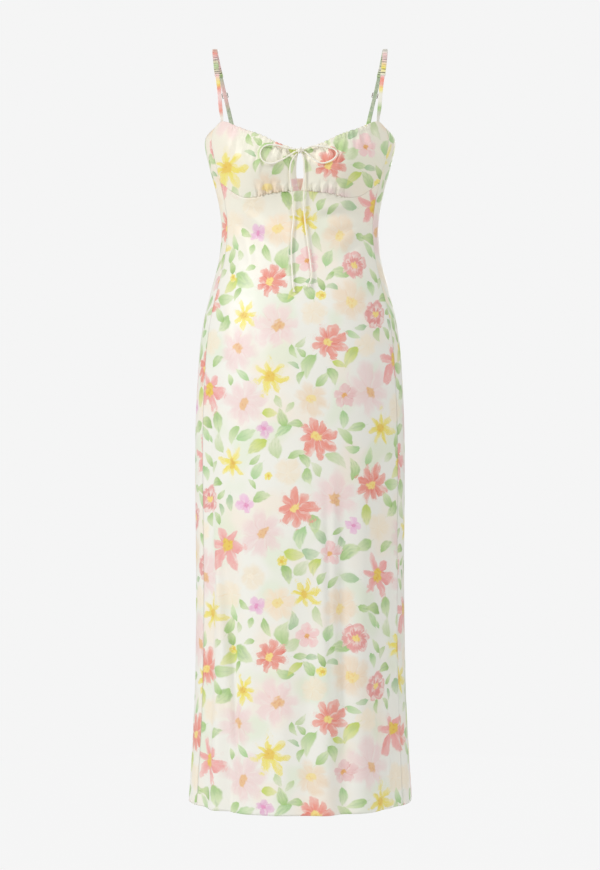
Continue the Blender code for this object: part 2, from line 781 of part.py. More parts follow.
def make_tie():
    """Bow: the knot on the neckline, two loops and two tails with knotted tips."""
    make_blob("tie_knot", front_point(0.0, KNOT_HEIGHT, KNOT_LIFT), KNOT_HALF)
    for name in TIE_ROUTES:
        path = make_cord(name)
        if "tail" in name:
            onward = (path[-1] - path[-2]).normalized()
            tip = path[-1] + onward * (TIP_RADIUS + SEAM_GAP)
            make_blob(name.replace("tail", "tip"), tip, (TIP_RADIUS, TIP_RADIUS, 1.15 * TIP_RADIUS))


def make_zip():
    """Concealed zip: its closed tape lies flat behind the wearer's left side seam, row by row with the panels."""
    heights = [height for height in side_seam_heights() if ZIP_TOP > height > ZIP_BOTTOM]
    rows = len(heights) - 1

    def face(u, v, depth):
        height = heights[round((1.0 - v) * rows)]
        angle = SIDE_SEAM + (2.0 * u - 1.0) * ZIP_HALF_WIDTH / section(height, "half_width")
        return body_point(angle, height) - body_normal(angle, height) * depth

    near = WALL + ZIP_CLEARANCE
    wall("side_zip", 4, rows, lambda u, v: face(u, v, near), lambda u, v: face(u, v, near + ZIP_THICK))


def clear_scene():
    """Removes what the file opened with and makes the dress's collection."""
    for obj in list(bpy.data.objects):
        bpy.data.objects.remove(obj, do_unlink=True)
    made = bpy.data.collections.new("midi_dress")
    bpy.context.scene.collection.children.link(made)
    return made


DRESS = clear_scene()
make_panels()
for side_name, side_sign in (("left", -1.0), ("right", 1.0)):
    make_cup("cup_" + side_name, side_sign)
    make_front_strap("strap_front_" + side_name, side_sign)
    make_ruched_strap("strap_ruched_" + side_name, side_sign)
    strap_base = back_strap_base(side_sign)
    make_back_strap("strap_back_" + side_name, strap_base)
    make_slider("slider_" + side_name, strap_base)
    make_ring("ring_" + side_name, strap_base)
    make_ring_tab("ring_tab_" + side_name, strap_base)
make_tie()
make_zip()
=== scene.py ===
import math
import random

import bmesh
import bpy
import numpy as np
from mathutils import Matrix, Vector


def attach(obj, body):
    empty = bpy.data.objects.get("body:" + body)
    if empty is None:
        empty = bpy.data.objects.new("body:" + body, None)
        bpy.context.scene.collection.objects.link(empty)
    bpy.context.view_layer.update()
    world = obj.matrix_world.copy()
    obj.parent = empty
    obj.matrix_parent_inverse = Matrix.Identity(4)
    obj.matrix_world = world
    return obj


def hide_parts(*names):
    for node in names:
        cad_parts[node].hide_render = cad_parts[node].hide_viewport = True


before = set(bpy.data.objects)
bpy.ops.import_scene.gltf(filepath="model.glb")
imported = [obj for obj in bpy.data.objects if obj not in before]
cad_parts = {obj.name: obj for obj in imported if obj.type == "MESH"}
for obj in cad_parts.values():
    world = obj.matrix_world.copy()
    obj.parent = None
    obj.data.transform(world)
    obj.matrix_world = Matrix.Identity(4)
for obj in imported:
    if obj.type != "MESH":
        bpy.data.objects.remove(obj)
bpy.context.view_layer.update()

MM = 0.001
TURN = 2.0 * math.pi

# The dress's form, as in its solids. Heights and sizes in metres, angles in degrees from the centre front
CLOTH = 0.7 * MM
WALL = 1.2 * MM
SEAM_GAP = 0.3 * MM
FRONT_COLUMNS = 96
BACK_COLUMNS = 132
PANEL_ROWS = 250
CUP_COLUMNS = 132
CUP_ROWS = 60
SIDE_SEAM = math.radians(66.8)
HEM = -1.241
SECTIONS = (
    # height, half width, depth in front, depth behind
    (-0.120, 0.1468, 0.088, 0.086),
    (-0.152, 0.1578, 0.097, 0.093),
    (-0.190, 0.1512, 0.099, 0.096),
    (-0.232, 0.1400, 0.093, 0.089),
    (-0.262, 0.1335, 0.088, 0.083),
    (-0.298, 0.1300, 0.086, 0.082),
    (-0.348, 0.1345, 0.092, 0.090),
    (-0.400, 0.1475, 0.104, 0.108),
    (-0.448, 0.1594, 0.113, 0.122),
    (-0.514, 0.1677, 0.119, 0.132),
    (-0.647, 0.1735, 0.124, 0.136),
    (-0.912, 0.1723, 0.127, 0.134),
    (-1.078, 0.1751, 0.133, 0.137),
    (HEM, 0.1843, 0.142, 0.144),
)
BUST_OFFSET = 0.074
BUST_HEIGHT = -0.203
BUST_RISE = 0.024
BUST_WIDTH = 0.052
BUST_DROP = 0.047
NECKLINE = (
    (0.0, -0.1815),
    (14.0, -0.1685),
    (23.0, -0.1560),
    (33.0, -0.1460),
    (46.0, -0.1335),
    (54.0, -0.1272),
    (61.0, -0.1262),
    (66.8, -0.1350),
)
UNDERBUST = (
    (0.0, -0.2445),
    (18.0, -0.2485),
    (36.0, -0.2545),
    (48.0, -0.2490),
    (60.0, -0.2335),
    (66.8, -0.2245),
)
BACK_EDGE = (
    (66.8, -0.1350),
    (76.0, -0.1425),
    (90.0, -0.1530),
    (106.0, -0.1690),
    (126.0, -0.1870),
    (150.0, -0.1965),
    (180.0, -0.1990),
)
HEM_DEPTH = 20.0 * MM
HEM_STITCH = 1.2 * MM
HEM_PUCKER = 0.25 * MM
KEYHOLE_END_GAP = 1.5 * MM
KEYHOLE_SWELL = 4.6 * MM

# Long soft folds that hang from hip and thigh: angle, spread, depth, where it starts, where it is full
FOLDS = (
    (-59.0, 6.5, -0.0055, -0.56, -0.80),
    (-48.0, 5.5, 0.0060, -0.66, -0.98),
    (-40.0, 5.0, -0.0070, -0.70, -1.00),
    (-27.0, 7.0, 0.0030, -0.78, -1.10),
    (-12.0, 6.0, 0.0025, -0.86, -1.20),
    (3.0, 8.0, -0.0030, -0.72, -1.05),
    (13.0, 6.0, 0.0035, -0.66, -0.95),
    (22.5, 5.5, -0.0060, -0.64, -0.95),
    (34.0, 7.0, 0.0035, -0.70, -1.05),
    (50.0, 6.0, -0.0040, -0.52, -0.85),
    (60.0, 5.5, -0.0060, -0.80, -1.12),
    (101.0, 7.0, 0.0050, -0.60, -1.00),
    (116.0, 7.5, -0.0065, -0.62, -1.00),
    (133.0, 7.0, 0.0050, -0.70, -1.08),
    (151.0, 8.0, -0.0060, -0.60, -0.98),
    (169.0, 7.0, 0.0045, -0.72, -1.05),
    (186.0, 8.0, -0.0060, -0.62, -1.00),
    (205.0, 7.0, 0.0050, -0.68, -1.10),
    (223.0, 8.0, -0.0065, -0.58, -0.96),
    (243.0, 7.0, 0.0050, -0.66, -1.04),
    (259.0, 7.5, -0.0050, -0.64, -1.00),
)

# Small folds and creases that the solids leave out, placed as seen from the front. Lengths in
# millimetres, the direction in degrees: 0 runs to +X and -90 straight down. A negative depth is a valley
FOLD_STRENGTH = 1.5
CREASES = (
    # depth, half width, across, height, direction, length, bow
    (2.2, 4, -145, -695, -86, 545, 3),
    (-2.2, 5, -136, -700, -86, 540, 3),
    (-1.0, 7, -150, -560, -88, 240, 0),
    (1.4, 7, 52, -650, -89, 550, 0),
    (-1.6, 6, 42, -685, -89, 375, 0),
    (1.6, 5, 132, -1000, -86, 240, 0),
    (-1.8, 5, 122, -990, -86, 250, 0),
    (1.3, 5, 155, -760, -89, 480, 0),
    (-1.3, 4, 149, -800, -89, 400, 0),
    (2.4, 7, -112, -262, -38, 125, 4),
    (-2.2, 7, -116, -284, -40, 115, 4),
    (0.9, 6, -95, -296, -78, 80, 3),
    (1.4, 6, 16, -276, 10, 75, 0),
    (-1.4, 6, 22, -288, 10, 80, 0),
    (1.0, 6, 30, -306, 11, 80, 0),
    (1.2, 7, 56, -338, 37, 80, 4),
    (-1.0, 6, 66, -352, 38, 70, 0),
    (-0.8, 12, -20, -470, -28, 105, 0),
    (0.8, 11, -30, -900, -90, 300, 4),
    (-0.8, 10, 8, -930, -90, 280, 3),
    (0.7, 9, 95, -700, -89, 300, 5),
    (-0.6, 10, -80, -430, -84, 210, 6),
    (0.6, 9, -120, -400, -87, 140, 2),
)
BACK_CREASES = (
    (1.2, 7, -120, -700, -89, 535, 0),
    (-1.4, 6, -108, -720, -89, 490, 0),
    (1.0, 8, -60, -800, -90, 430, 2),
    (-1.0, 7, -46, -760, -90, 390, 0),
    (1.5, 6, 30, -720, -90, 480, 2),
    (-1.2, 6, 43, -700, -90, 535, 2),
    (1.3, 7, 104, -650, -88, 585, 2),
    (-1.3, 6, 93, -690, -88, 490, 0),
    (-0.9, 9, -50, -290, -3, 110, -4),
    (0.9, 9, -60, -312, -3, 110, -4),
    (-0.8, 9, -90, -345, 0, 100, -3),
    (0.8, 10, -70, -470, 0, 130, -5),
    (-0.8, 10, 100, -230, -110, 105, 0),
    (0.8, 10, -100, -225, -73, 100, 0),
)
CUP_CREASES = {
    "left": (
        (-1.9, 3.0, -61, -163, -103, 56, -3),
        (1.5, 3.4, -54, -166, -102, 60, -3),
        (1.1, 4.0, -80, -158, -98, 42, 0),
        (-1.1, 3.4, -89, -152, -100, 45, 0),
        (1.1, 4.0, -98, -148, -100, 56, 0),
        (-0.9, 3.6, -106, -144, -104, 54, 0),
        (-1.5, 2.6, -44, -170, -92, 27, 0),
        (1.3, 2.4, -38, -172, -88, 28, 0),
        (-1.4, 2.4, -31, -174, -80, 24, 0),
        (1.1, 2.4, -24, -176, -79, 25, 0),
        (-1.2, 2.4, -17, -178, -82, 28, 0),
    ),
    "right": (
        (-2.2, 2.8, 66, -160, -108, 48, 0),
        (1.7, 3.2, 73, -158, -105, 58, 0),
        (1.2, 3.2, 57, -164, -111, 30, 0),
        (-1.2, 3.0, 45, -168, -105, 27, 0),
        (1.2, 2.8, 35, -171, -96, 27, 0),
        (-1.2, 2.4, 25, -174, -92, 28, 0),
        (1.1, 2.4, 17, -177, -94, 29, 0),
        (-1.3, 3.2, 100, -142, -79, 43, 0),
        (1.3, 3.4, 108, -139, -77, 50, 0),
        (-1.3, 3.2, 114, -137, -74, 49, 2),
        (1.3, 3.4, 120, -136, -74, 70, 4),
        (-0.9, 3.4, 88, -150, -86, 40, 0),
    ),
}
# Gathers that rise from the underbust seam: from the centre outwards, one every few millimetres
SEAM_GATHERS_START = 18.0
SEAM_GATHER_SPACING = 6.0
SEAM_GATHER_LENGTHS = (23, 21, 27, 24, 28, 22, 25, 21, 23)

# The print is a design of the script's own, of common flowers and leaves strewn over a plain repeat, which
# drops by half from one column to the next. Sizes in millimetres on the cloth, colours from 0 to 255
REPEAT_WIDTH = 300.0
REPEAT_HEIGHT = 600.0
PRINT_SEED = 11
TRIES = 40
CORAL = (243, 152, 136)
ROSE_PINK = (243, 172, 168)
BLUSH = (246, 208, 206)
PALE_PINK = (247, 219, 217)
LILAC = (240, 194, 222)
MAGENTA = (236, 156, 200)
LEMON = (245, 230, 104)
GOLD = (238, 202, 72)
BUTTER = (250, 222, 130)
APRICOT = (238, 178, 102)
PEACH = (250, 228, 200)
CREAM = (251, 238, 214)
GREEN = (170, 207, 130)
SHADED_GREY_GREEN = (186, 204, 176)
SATIN = (240, 238, 226)
BLOOMS = (
    # count, half size, petals, notch, size of the heart, rings, petal, heart
    (2, 38, 6, 0.66, 0.24, 0, ROSE_PINK, GOLD),
    (5, 31, 8, 0.42, 0.22, 0, CORAL, BUTTER),
    (5, 31, 7, 0.70, 0.22, 0, LEMON, GOLD),
    (2, 25, 6, 0.16, 0.28, 1, ROSE_PINK, BUTTER),
    (3, 21, 5, 0.34, 0.20, 0, BLUSH, APRICOT),
    (4, 17, 4, 0.42, 0.24, 0, LILAC, MAGENTA),
    (4, 8, 5, 0.20, 0.35, 0, LEMON, GOLD),
)
WASHES = (
    (6, 38, 7, 0.38, 0.22, 0, PALE_PINK, APRICOT),
    (4, 30, 6, 0.30, 0.30, 0, PEACH, BUTTER),
    (6, 22, 5, 0.20, 0.20, 0, CREAM, CREAM),
)
LEAF_COUNT = 100
LEAF_HALF_LENGTH = (11.0, 22.0)
LEAF_SLIMNESS = (0.36, 0.62)
LEAF_TINTS = (
    # weight, first colour, second colour
    (9, GREEN, (212, 229, 168)),
    (4, (172, 213, 148), (210, 230, 174)),
    (3, (202, 221, 168), (226, 233, 200)),
    (2, (152, 193, 104), (192, 217, 130)),
    (2, (198, 217, 90), (226, 229, 130)),
    (2, (172, 205, 160), (200, 221, 172)),
)
# Where each piece of cloth is cut from the print
FRONT_CUT = (0.0, 0.0)
BACK_CUT = (135.0, 110.0)
CUP_CUTS = {"left": (70.0, 260.0), "right": (-95.0, 415.0)}
STRAP_COLOURS = (SATIN, SATIN, LEMON, CORAL, GREEN, BLUSH)
# The back straps' grey-green is partly the paler reverse of the print and partly painted shade, for straps
# that hang in shadow behind the cups
BACK_STRAP_COLOURS_AND_SHADE = (SHADED_GREY_GREEN, SHADED_GREY_GREEN, GREEN, BLUSH)

# Straps, drawn for the +X side. The shoulder part has finer gathers than its solid, within the same size
STRAP_WIDTH = 6.4 * MM
STRAP_THICK = 1.0 * MM
RUCHED_WIDTH = 8.2 * MM
RUCHED_THICK = 2.6 * MM
RUCHES = 27
STRAP_INSET = 9.0 * MM
STRAP_STEP = 3.5 * MM
ARC_STEPS = 10
FRONT_STRAP_ANGLE = math.radians(60.5)
FRONT_STRAP = (
    (0.1298, -0.0480, -0.1040),
    (0.1310, -0.0475, -0.0880),
    (0.1328, -0.0440, -0.0685),
    (0.1358, -0.0360, -0.0485),
)
SHOULDER = (
    (0.1358, -0.0360, -0.0485),
    (0.1388, -0.0240, -0.0230),
    (0.1405, -0.0130, -0.0075),
    (0.1412, 0.0000, 0.0011),
    (0.1400, 0.0140, -0.0060),
    (0.1372, 0.0270, -0.0195),
    (0.1331, 0.0385, -0.0365),
)
BACK_STRAP = (
    (0.1331, 0.0385, -0.0365),
    (0.1264, 0.0535, -0.0660),
    (0.1192, 0.0640, -0.0950),
    (0.1120, 0.0700, -0.1250),
    (0.1035, 0.0722, -0.1540),
    (0.0975, 0.0722, -0.1770),
    (0.0950, 0.0712, -0.1950),
)
SLIDER_DROP = 0.033
RING_DROP = 0.146
LOOP_RADIUS = 1.5 * MM
SLIDER_LIFT = 2.8 * MM
RING_LENGTH = 5.2 * MM
WRAP_RADIUS = 1.4 * MM

# The tie, on the front of the dress: across, height, how far the cord's middle stands off the cloth
CORD_DIAMETER = 2.6 * MM
CORD_STEP = 1.6 * MM
CORD_UNEVEN = 0.05
KNOT_UNEVEN = 0.06
KNOT_HEIGHT = -0.1822
KNOT_LIFT = 6.4 * MM
KNOT_HALF = (7.4 * MM, 4.6 * MM, 5.2 * MM)
KNOT_CORD_RADIUS = 1.3 * MM
KNOT_WRAP_RADIUS = 1.55 * MM
# Cords that cross inside the knot, in millimetres from its middle
KNOT_CROSSINGS = (
    ((-7.2, 1.2, -1.6), (-4.6, 0.2, -1.3), (-2.0, -0.9, -0.3), (0.6, -1.0, 0.4), (3.6, -0.1, 1.0),
     (7.0, 1.0, 1.6)),
    ((-7.0, 1.0, 2.0), (-4.4, 0.0, 1.6), (-1.6, -0.6, 1.1), (1.4, -0.6, 0.2), (4.2, 0.2, -0.8),
     (6.9, 1.2, -1.8)),
    ((-2.6, 1.2, -4.8), (-1.6, -0.4, -3.0), (-0.6, -1.2, -1.0), (0.4, -0.8, 1.2)),
    ((2.4, 1.2, -4.8), (1.8, -0.4, -3.2), (1.0, -1.2, -1.2), (0.2, -0.8, 0.8)),
)
TIP_RADIUS = 2.2 * MM
TIP_CORD_RADIUS = 1.15 * MM
TIP_HALF_WIDTH = 1.0 * MM
TIP_HALF_LENGTH = 1.38 * MM
TIE_ROUTES = {
    "tie_loop_left": (
        (-0.0010, -0.1829, 0.0064),
        (-0.0075, -0.1846, 0.0062),
        (-0.0150, -0.1893, 0.0056),
        (-0.0224, -0.1941, 0.0044),
        (-0.0320, -0.1995, 0.0032),
        (-0.0432, -0.2038, 0.0030),
        (-0.0540, -0.2032, 0.0030),
        (-0.0614, -0.1970, 0.0030),
        (-0.0636, -0.1885, 0.0032),
        (-0.0606, -0.1800, 0.0036),
        (-0.0532, -0.1748, 0.0040),
        (-0.0432, -0.1738, 0.0046),
        (-0.0320, -0.1757, 0.0054),
        (-0.0208, -0.1787, 0.0062),
        (-0.0105, -0.1806, 0.0068),
        (-0.0010, -0.1815, 0.0068),
    ),
    "tie_loop_right": (
        (0.0010, -0.1829, 0.0062),
        (0.0080, -0.1852, 0.0060),
        (0.0158, -0.1922, 0.0054),
        (0.0248, -0.1993, 0.0040),
        (0.0360, -0.2033, 0.0031),
        (0.0470, -0.2010, 0.0030),
        (0.0555, -0.1955, 0.0030),
        (0.0592, -0.1885, 0.0030),
        (0.0556, -0.1822, 0.0034),
        (0.0464, -0.1788, 0.0038),
        (0.0360, -0.1766, 0.0044),
        (0.0248, -0.1757, 0.0052),
        (0.0160, -0.1772, 0.0062),
        (0.0090, -0.1800, 0.0068),
        (0.0010, -0.1813, 0.0068),
    ),
    "tie_tail_left": (
        (-0.0012, -0.1835, 0.0058),
        (-0.0062, -0.1890, 0.0044),
        (-0.0108, -0.1948, 0.0034),
        (-0.0144, -0.2020, 0.0030),
        (-0.0160, -0.2115, 0.0030),
        (-0.0157, -0.2265, 0.0032),
        (-0.0139, -0.2420, 0.0034),
        (-0.0112, -0.2585, 0.0036),
        (-0.0104, -0.2775, 0.0030),
        (-0.0108, -0.2965, 0.0028),
        (-0.0127, -0.3125, 0.0028),
        (-0.0139, -0.3335, 0.0028),
        (-0.0138, -0.3545, 0.0028),
        (-0.0128, -0.3735, 0.0028),
        (-0.0115, -0.3915, 0.0028),
        (-0.0101, -0.4050, 0.0032),
    ),
    "tie_tail_right": (
        (0.0012, -0.1835, 0.0058),
        (0.0042, -0.1900, 0.0042),
        (0.0060, -0.1980, 0.0036),
        (0.0065, -0.2090, 0.0034),
        (0.0069, -0.2260, 0.0034),
        (0.0067, -0.2440, 0.0034),
        (0.0057, -0.2625, 0.0034),
        (0.0068, -0.2805, 0.0029),
        (0.0086, -0.2980, 0.0028),
        (0.0107, -0.3145, 0.0028),
        (0.0128, -0.3305, 0.0028),
        (0.0149, -0.3465, 0.0028),
        (0.0168, -0.3625, 0.0028),
        (0.0183, -0.3765, 0.0028),
        (0.0176, -0.3880, 0.0028),
        (0.0142, -0.3972, 0.0032),
    ),
}
# The zip's tape, which ends where its solid does, on rows of the side seam
ZIP_TOP = -0.1453
ZIP_BOTTOM = -0.4978
ZIP_HALF_WIDTH = 10.0 * MM
ZIP_THICK = 0.5 * MM
ZIP_DEPTH = 1.2 * MM
COIL_RISE = 0.55 * MM

# The camera, floor and lights
CAMERA_DISTANCE = 3.0
CAMERA_HEIGHT = -0.638
SENSOR_WIDTH = 36.0
PIXEL = 1.66 * MM
PHOTO_HEIGHT = 870
FLOOR_HEIGHT = -1.62
FLOOR_RADIUS = 2.6
FLOOR_GLOW = 0.985
BACKDROP = (245, 245, 245)
STUDIO_STRENGTH = 0.44
LIGHT_AIM = (0.0, 0.0, -0.6)
LIGHTS = (
    # name, place, size, power in watts
    ("key", (-2.9, -1.9, 1.0), (0.9, 1.4), 66.0),
    ("side", (1.9, -1.9, 1.9), (0.8, 0.8), 36.0),
    ("behind", (0.8, 3.2, 0.8), (1.6, 1.6), 30.0),
)


# The dress's surface

def smooth_value(stations, values, at):
    """A smooth curve through the values, held level past both ends."""
    xs = np.asarray(stations, float)
    ys = np.asarray(values, float)
    if xs[0] > xs[-1]:
        xs = xs[::-1]
        ys = ys[::-1]
    low = np.maximum(np.arange(len(xs)) - 1, 0)
    high = np.minimum(np.arange(len(xs)) + 1, len(xs) - 1)
    slopes = (ys[high] - ys[low]) / (xs[high] - xs[low])
    at = np.clip(at, xs[0], xs[-1])
    k = np.clip(np.searchsorted(xs, at, side="right") - 1, 0, len(xs) - 2)
    span = xs[k + 1] - xs[k]
    t = (at - xs[k]) / span
    start = (2 * t**3 - 3 * t**2 + 1) * ys[k] + (t**3 - 2 * t**2 + t) * span * slopes[k]
    return start + (3 * t**2 - 2 * t**3) * ys[k + 1] + (t**3 - t**2) * span * slopes[k + 1]


def ease(t):
    """0 to 1 with level ends."""
    t = np.clip(t, 0.0, 1.0)
    return t * t * (3.0 - 2.0 * t)


def section(height, column):
    """Half width (1), depth in front (2) or depth behind (3) of the dress at a height."""
    return smooth_value([row[0] for row in SECTIONS], [row[column] for row in SECTIONS], height)


def edge_height(rows, angle):
    """Height of a seam or edge at an angle from the centre front."""
    return smooth_value([row[0] for row in rows], [row[1] for row in rows], np.degrees(np.abs(angle)))


def underbust_height(angle):
    """Height of the underbust seam, straight between the columns of the front's solid."""
    stations = SIDE_SEAM * np.arange(17) / 16
    return np.interp(np.abs(angle), stations, edge_height(UNDERBUST, stations))


def surface(angle, height):
    """Outer face of the smooth cloth, as an array of points."""
    facing = np.cos(angle) > 0
    half_width = section(height, 1)
    depth = np.where(facing, section(height, 2), section(height, 3))
    x = half_width * np.sin(angle)
    y = -depth * np.cos(angle)
    across = (np.abs(x) - BUST_OFFSET) / BUST_WIDTH
    down = (height - BUST_HEIGHT) / BUST_DROP
    y = y - np.where(facing, BUST_RISE * np.exp(-across * across - down * down), 0.0)
    rise = 0.0
    for middle, spread, depth_of_fold, starts, full in FOLDS:
        away = (np.degrees(angle) - middle + 180.0) % 360.0 - 180.0
        grown = ease((starts - height) / (starts - full))
        rise = rise + depth_of_fold * grown * np.exp(-((away / spread) ** 2))
    return np.stack((x + rise * np.sin(angle), y - rise * np.cos(angle), height + 0.0 * angle), axis=-1)


def outward(angle, height):
    """Outward directions of the smooth cloth."""
    across = surface(angle + 0.004, height) - surface(angle - 0.004, height)
    up = surface(angle, height + 0.0008) - surface(angle, height - 0.0008)
    normal = np.cross(across, up)
    return normal / np.linalg.norm(normal, axis=-1, keepdims=True)


def cloth_across(angle, height):
    """Distance along the cloth from the centre front at a height, positive to the wearer's left. The back is
    measured from its own centre, and its depths are only near to the front's that are used here."""
    spots, weights = np.polynomial.legendre.leggauss(12)
    half_width = section(height, 1)
    total = 0.0
    for spot, weight in zip(spots, weights):
        turned = angle * 0.5 * (spot + 1.0)
        depth = np.where(np.cos(turned) > 0, section(height, 2), section(height, 3))
        total = total + weight * np.hypot(half_width * np.cos(turned), depth * np.sin(turned))
    return 0.5 * angle * total


def seen_angle(x, height):
    """Angle of a place on the front, given how far across it is."""
    return np.arcsin(np.clip(x / section(height, 1), -0.999, 0.999))


def point_on(angle, height, lift=0.0):
    """One point that stands off the cloth."""
    angle = np.float64(angle)
    height = np.float64(height)
    return Vector(surface(angle, height) + outward(angle, height) * lift)


def front_point(x, height, lift):
    """One point that stands off the front, straight forward."""
    return Vector(surface(seen_angle(x, height), np.float64(height))) + Vector((0.0, -lift, 0.0))


def crease_line(across, height, direction, length, bow):
    """Points along a crease, a shallow arc from where it starts."""
    share = np.linspace(0.0, 1.0, 7)
    turn = math.radians(direction)
    ahead = share * length
    aside = 4.0 * bow * share * (1.0 - share)
    x = across + ahead * math.cos(turn) - aside * math.sin(turn)
    y = height + ahead * math.sin(turn) + aside * math.cos(turn)
    return np.stack((x, y), axis=-1)


def crease_rise(creases, across, height):
    """How far small folds and creases stand out of the cloth, with both ends fading out."""
    total = np.zeros_like(across)
    for depth, half_width, *course in creases:
        nearest = np.full(across.shape, 1e9)
        along = np.zeros_like(across)
        line = crease_line(*course)
        steps = np.linalg.norm(np.diff(line, axis=0), axis=1)
        reach = np.concatenate(([0.0], np.cumsum(steps)))
        for i in range(len(line) - 1):
            step = (line[i + 1] - line[i]) / steps[i]
            x = across - line[i][0]
            y = height - line[i][1]
            from_start = np.clip(x * step[0] + y * step[1], 0.0, steps[i])
            away = np.hypot(x - step[0] * from_start, y - step[1] * from_start)
            closer = away < nearest
            nearest = np.where(closer, away, nearest)
            along = np.where(closer, reach[i] + from_start, along)
        length = reach[-1]
        at_hem = line[-1][1] < HEM / MM + 12.0
        far_end = ease((length - along) / (0.3 * length))
        fade = ease(along / (0.3 * length)) * (0.5 + 0.5 * far_end if at_hem else far_end)
        wander = 1.0 + 0.25 * np.sin(along / (0.11 * length) + depth)
        total += depth * fade * wander * np.exp(-((nearest / half_width) ** 2))
    return FOLD_STRENGTH * total * MM


def seam_gathers(side):
    """The small creases that rise from the underbust seam of one cup, ridge and valley in turn."""
    made = []
    for k, length in enumerate(SEAM_GATHER_LENGTHS):
        across = SEAM_GATHERS_START + SEAM_GATHER_SPACING * k
        lean = 4.0 + 1.5 * k
        depth = 1.4 if k % 2 else -1.4
        made.append((depth, 2.2, side * across, -254, 90.0 - side * lean, length, 0))
    return made


# Pieces

def link(name, mesh):
    """A finished piece that rides on the dress."""
    obj = bpy.data.objects.new(name, mesh)
    bpy.context.scene.collection.objects.link(obj)
    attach(obj, "root")
    return obj


def write_attribute(mesh, name, domain, values):
    """Stores three numbers for each vertex or corner."""
    layer = mesh.attributes.new(name, "FLOAT_VECTOR", domain)
    layer.data.foreach_set("vector", np.ascontiguousarray(values, dtype=np.float32).ravel())


def lay_grid(columns, rows, place, closed=False):
    """A grid whose points are set by place(u, v), both as arrays. Closed joins its two sides into a tube.
    Gives the mesh and each vertex's u and v."""
    shape = bmesh.new()
    shape.loops.layers.uv.new("UVMap")
    bmesh.ops.create_grid(shape, x_segments=columns, y_segments=rows, size=0.5, calc_uvs=True)
    u = np.array([vert.co.x + 0.5 for vert in shape.verts])
    v = np.array([vert.co.y + 0.5 for vert in shape.verts])
    spots = place(u, v)
    for vert, spot in zip(shape.verts, spots):
        vert.co = spot
    if closed:
        share_u = shape.verts.layers.float.new("u")
        share_v = shape.verts.layers.float.new("v")
        for vert, one_u, one_v in zip(shape.verts, u, v):
            vert[share_u] = one_u
            vert[share_v] = one_v
        bmesh.ops.remove_doubles(shape, verts=shape.verts[:], dist=1e-6)
        bmesh.ops.holes_fill(shape, edges=[edge for edge in shape.edges if edge.is_boundary], sides=0)
        bmesh.ops.recalc_face_normals(shape, faces=shape.faces[:])
        if shape.calc_volume(signed=True) < 0:
            bmesh.ops.reverse_faces(shape, faces=shape.faces[:])
        u = np.array([vert[share_u] for vert in shape.verts])
        v = np.array([vert[share_v] for vert in shape.verts])
    mesh = bpy.data.meshes.new("piece")
    shape.to_mesh(mesh)
    shape.free()
    mesh.shade_smooth()
    return mesh, u, v


def cloth_wall(obj, materials):
    """Gives a laid sheet its thickness, inwards, with the cloth's reverse on the inner side."""
    for material in materials:
        obj.data.materials.append(material)
    wall = obj.modifiers.new("cloth", "SOLIDIFY")
    wall.thickness = CLOTH
    wall.offset = -1.0
    wall.material_offset = 1
    wall.use_quality_normals = True


# The print

def srgb(colour):
    """A colour given as 0 to 255, as linear light."""
    share = np.asarray(colour, float) / 255.0
    return np.where(share <= 0.04045, share / 12.92, ((share + 0.055) / 1.055) ** 2.4)


def opaque(*colour):
    """A colour given as 0 to 255, as a shader takes it."""
    return (*srgb(colour), 1.0)


def copies(at, columns, rows):
    """Copies of a place on the print: each other column of the repeat drops by half of its height."""
    for column in columns:
        for row in rows:
            yield at[0] + column * REPEAT_WIDTH, at[1] + (row + 0.5 * (column % 2)) * REPEAT_HEIGHT


def lay(laid, at, reach):
    """Notes the room that a motif and the copies round it take."""
    laid.extend((across, height, reach) for across, height in copies(at, range(-1, 2), range(-2, 3)))


def room_at(at, laid):
    """Distance from a place to the edge of the nearest motif laid so far."""
    places = np.array(laid)
    return np.min(np.hypot(places[:, 0] - at[0], places[:, 1] - at[1]) - places[:, 2])


def most_room(draw, laid):
    """The place with the most room out of a few tries."""
    tries = [(draw.uniform(0.0, REPEAT_WIDTH), draw.uniform(0.0, REPEAT_HEIGHT)) for _ in range(TRIES)]
    return max(tries, key=lambda at: room_at(at, laid)) if laid else tries[0]


def strewn_flowers(draw, table, laid):
    """One repeat of the flowers in a table, each laid where there is room."""
    made = []
    for count, half_size, petals, notch, heart_size, rings, petal, heart in table:
        for _ in range(count):
            at = most_room(draw, laid)
            half = half_size * draw.uniform(0.88, 1.12)
            shade = draw.uniform(-6.0, 4.0)
            made.append({
                "at": at,
                "half": (half, half * draw.uniform(0.86, 1.0)),
                "turn": draw.uniform(0.0, TURN),
                "form": (petals + 0.98 * rings, notch, heart_size),
                "first": (*srgb(np.add(petal, shade)), draw.random()),
                "second": (*srgb(heart), 0.0),
            })
            lay(laid, at, half)
    return made


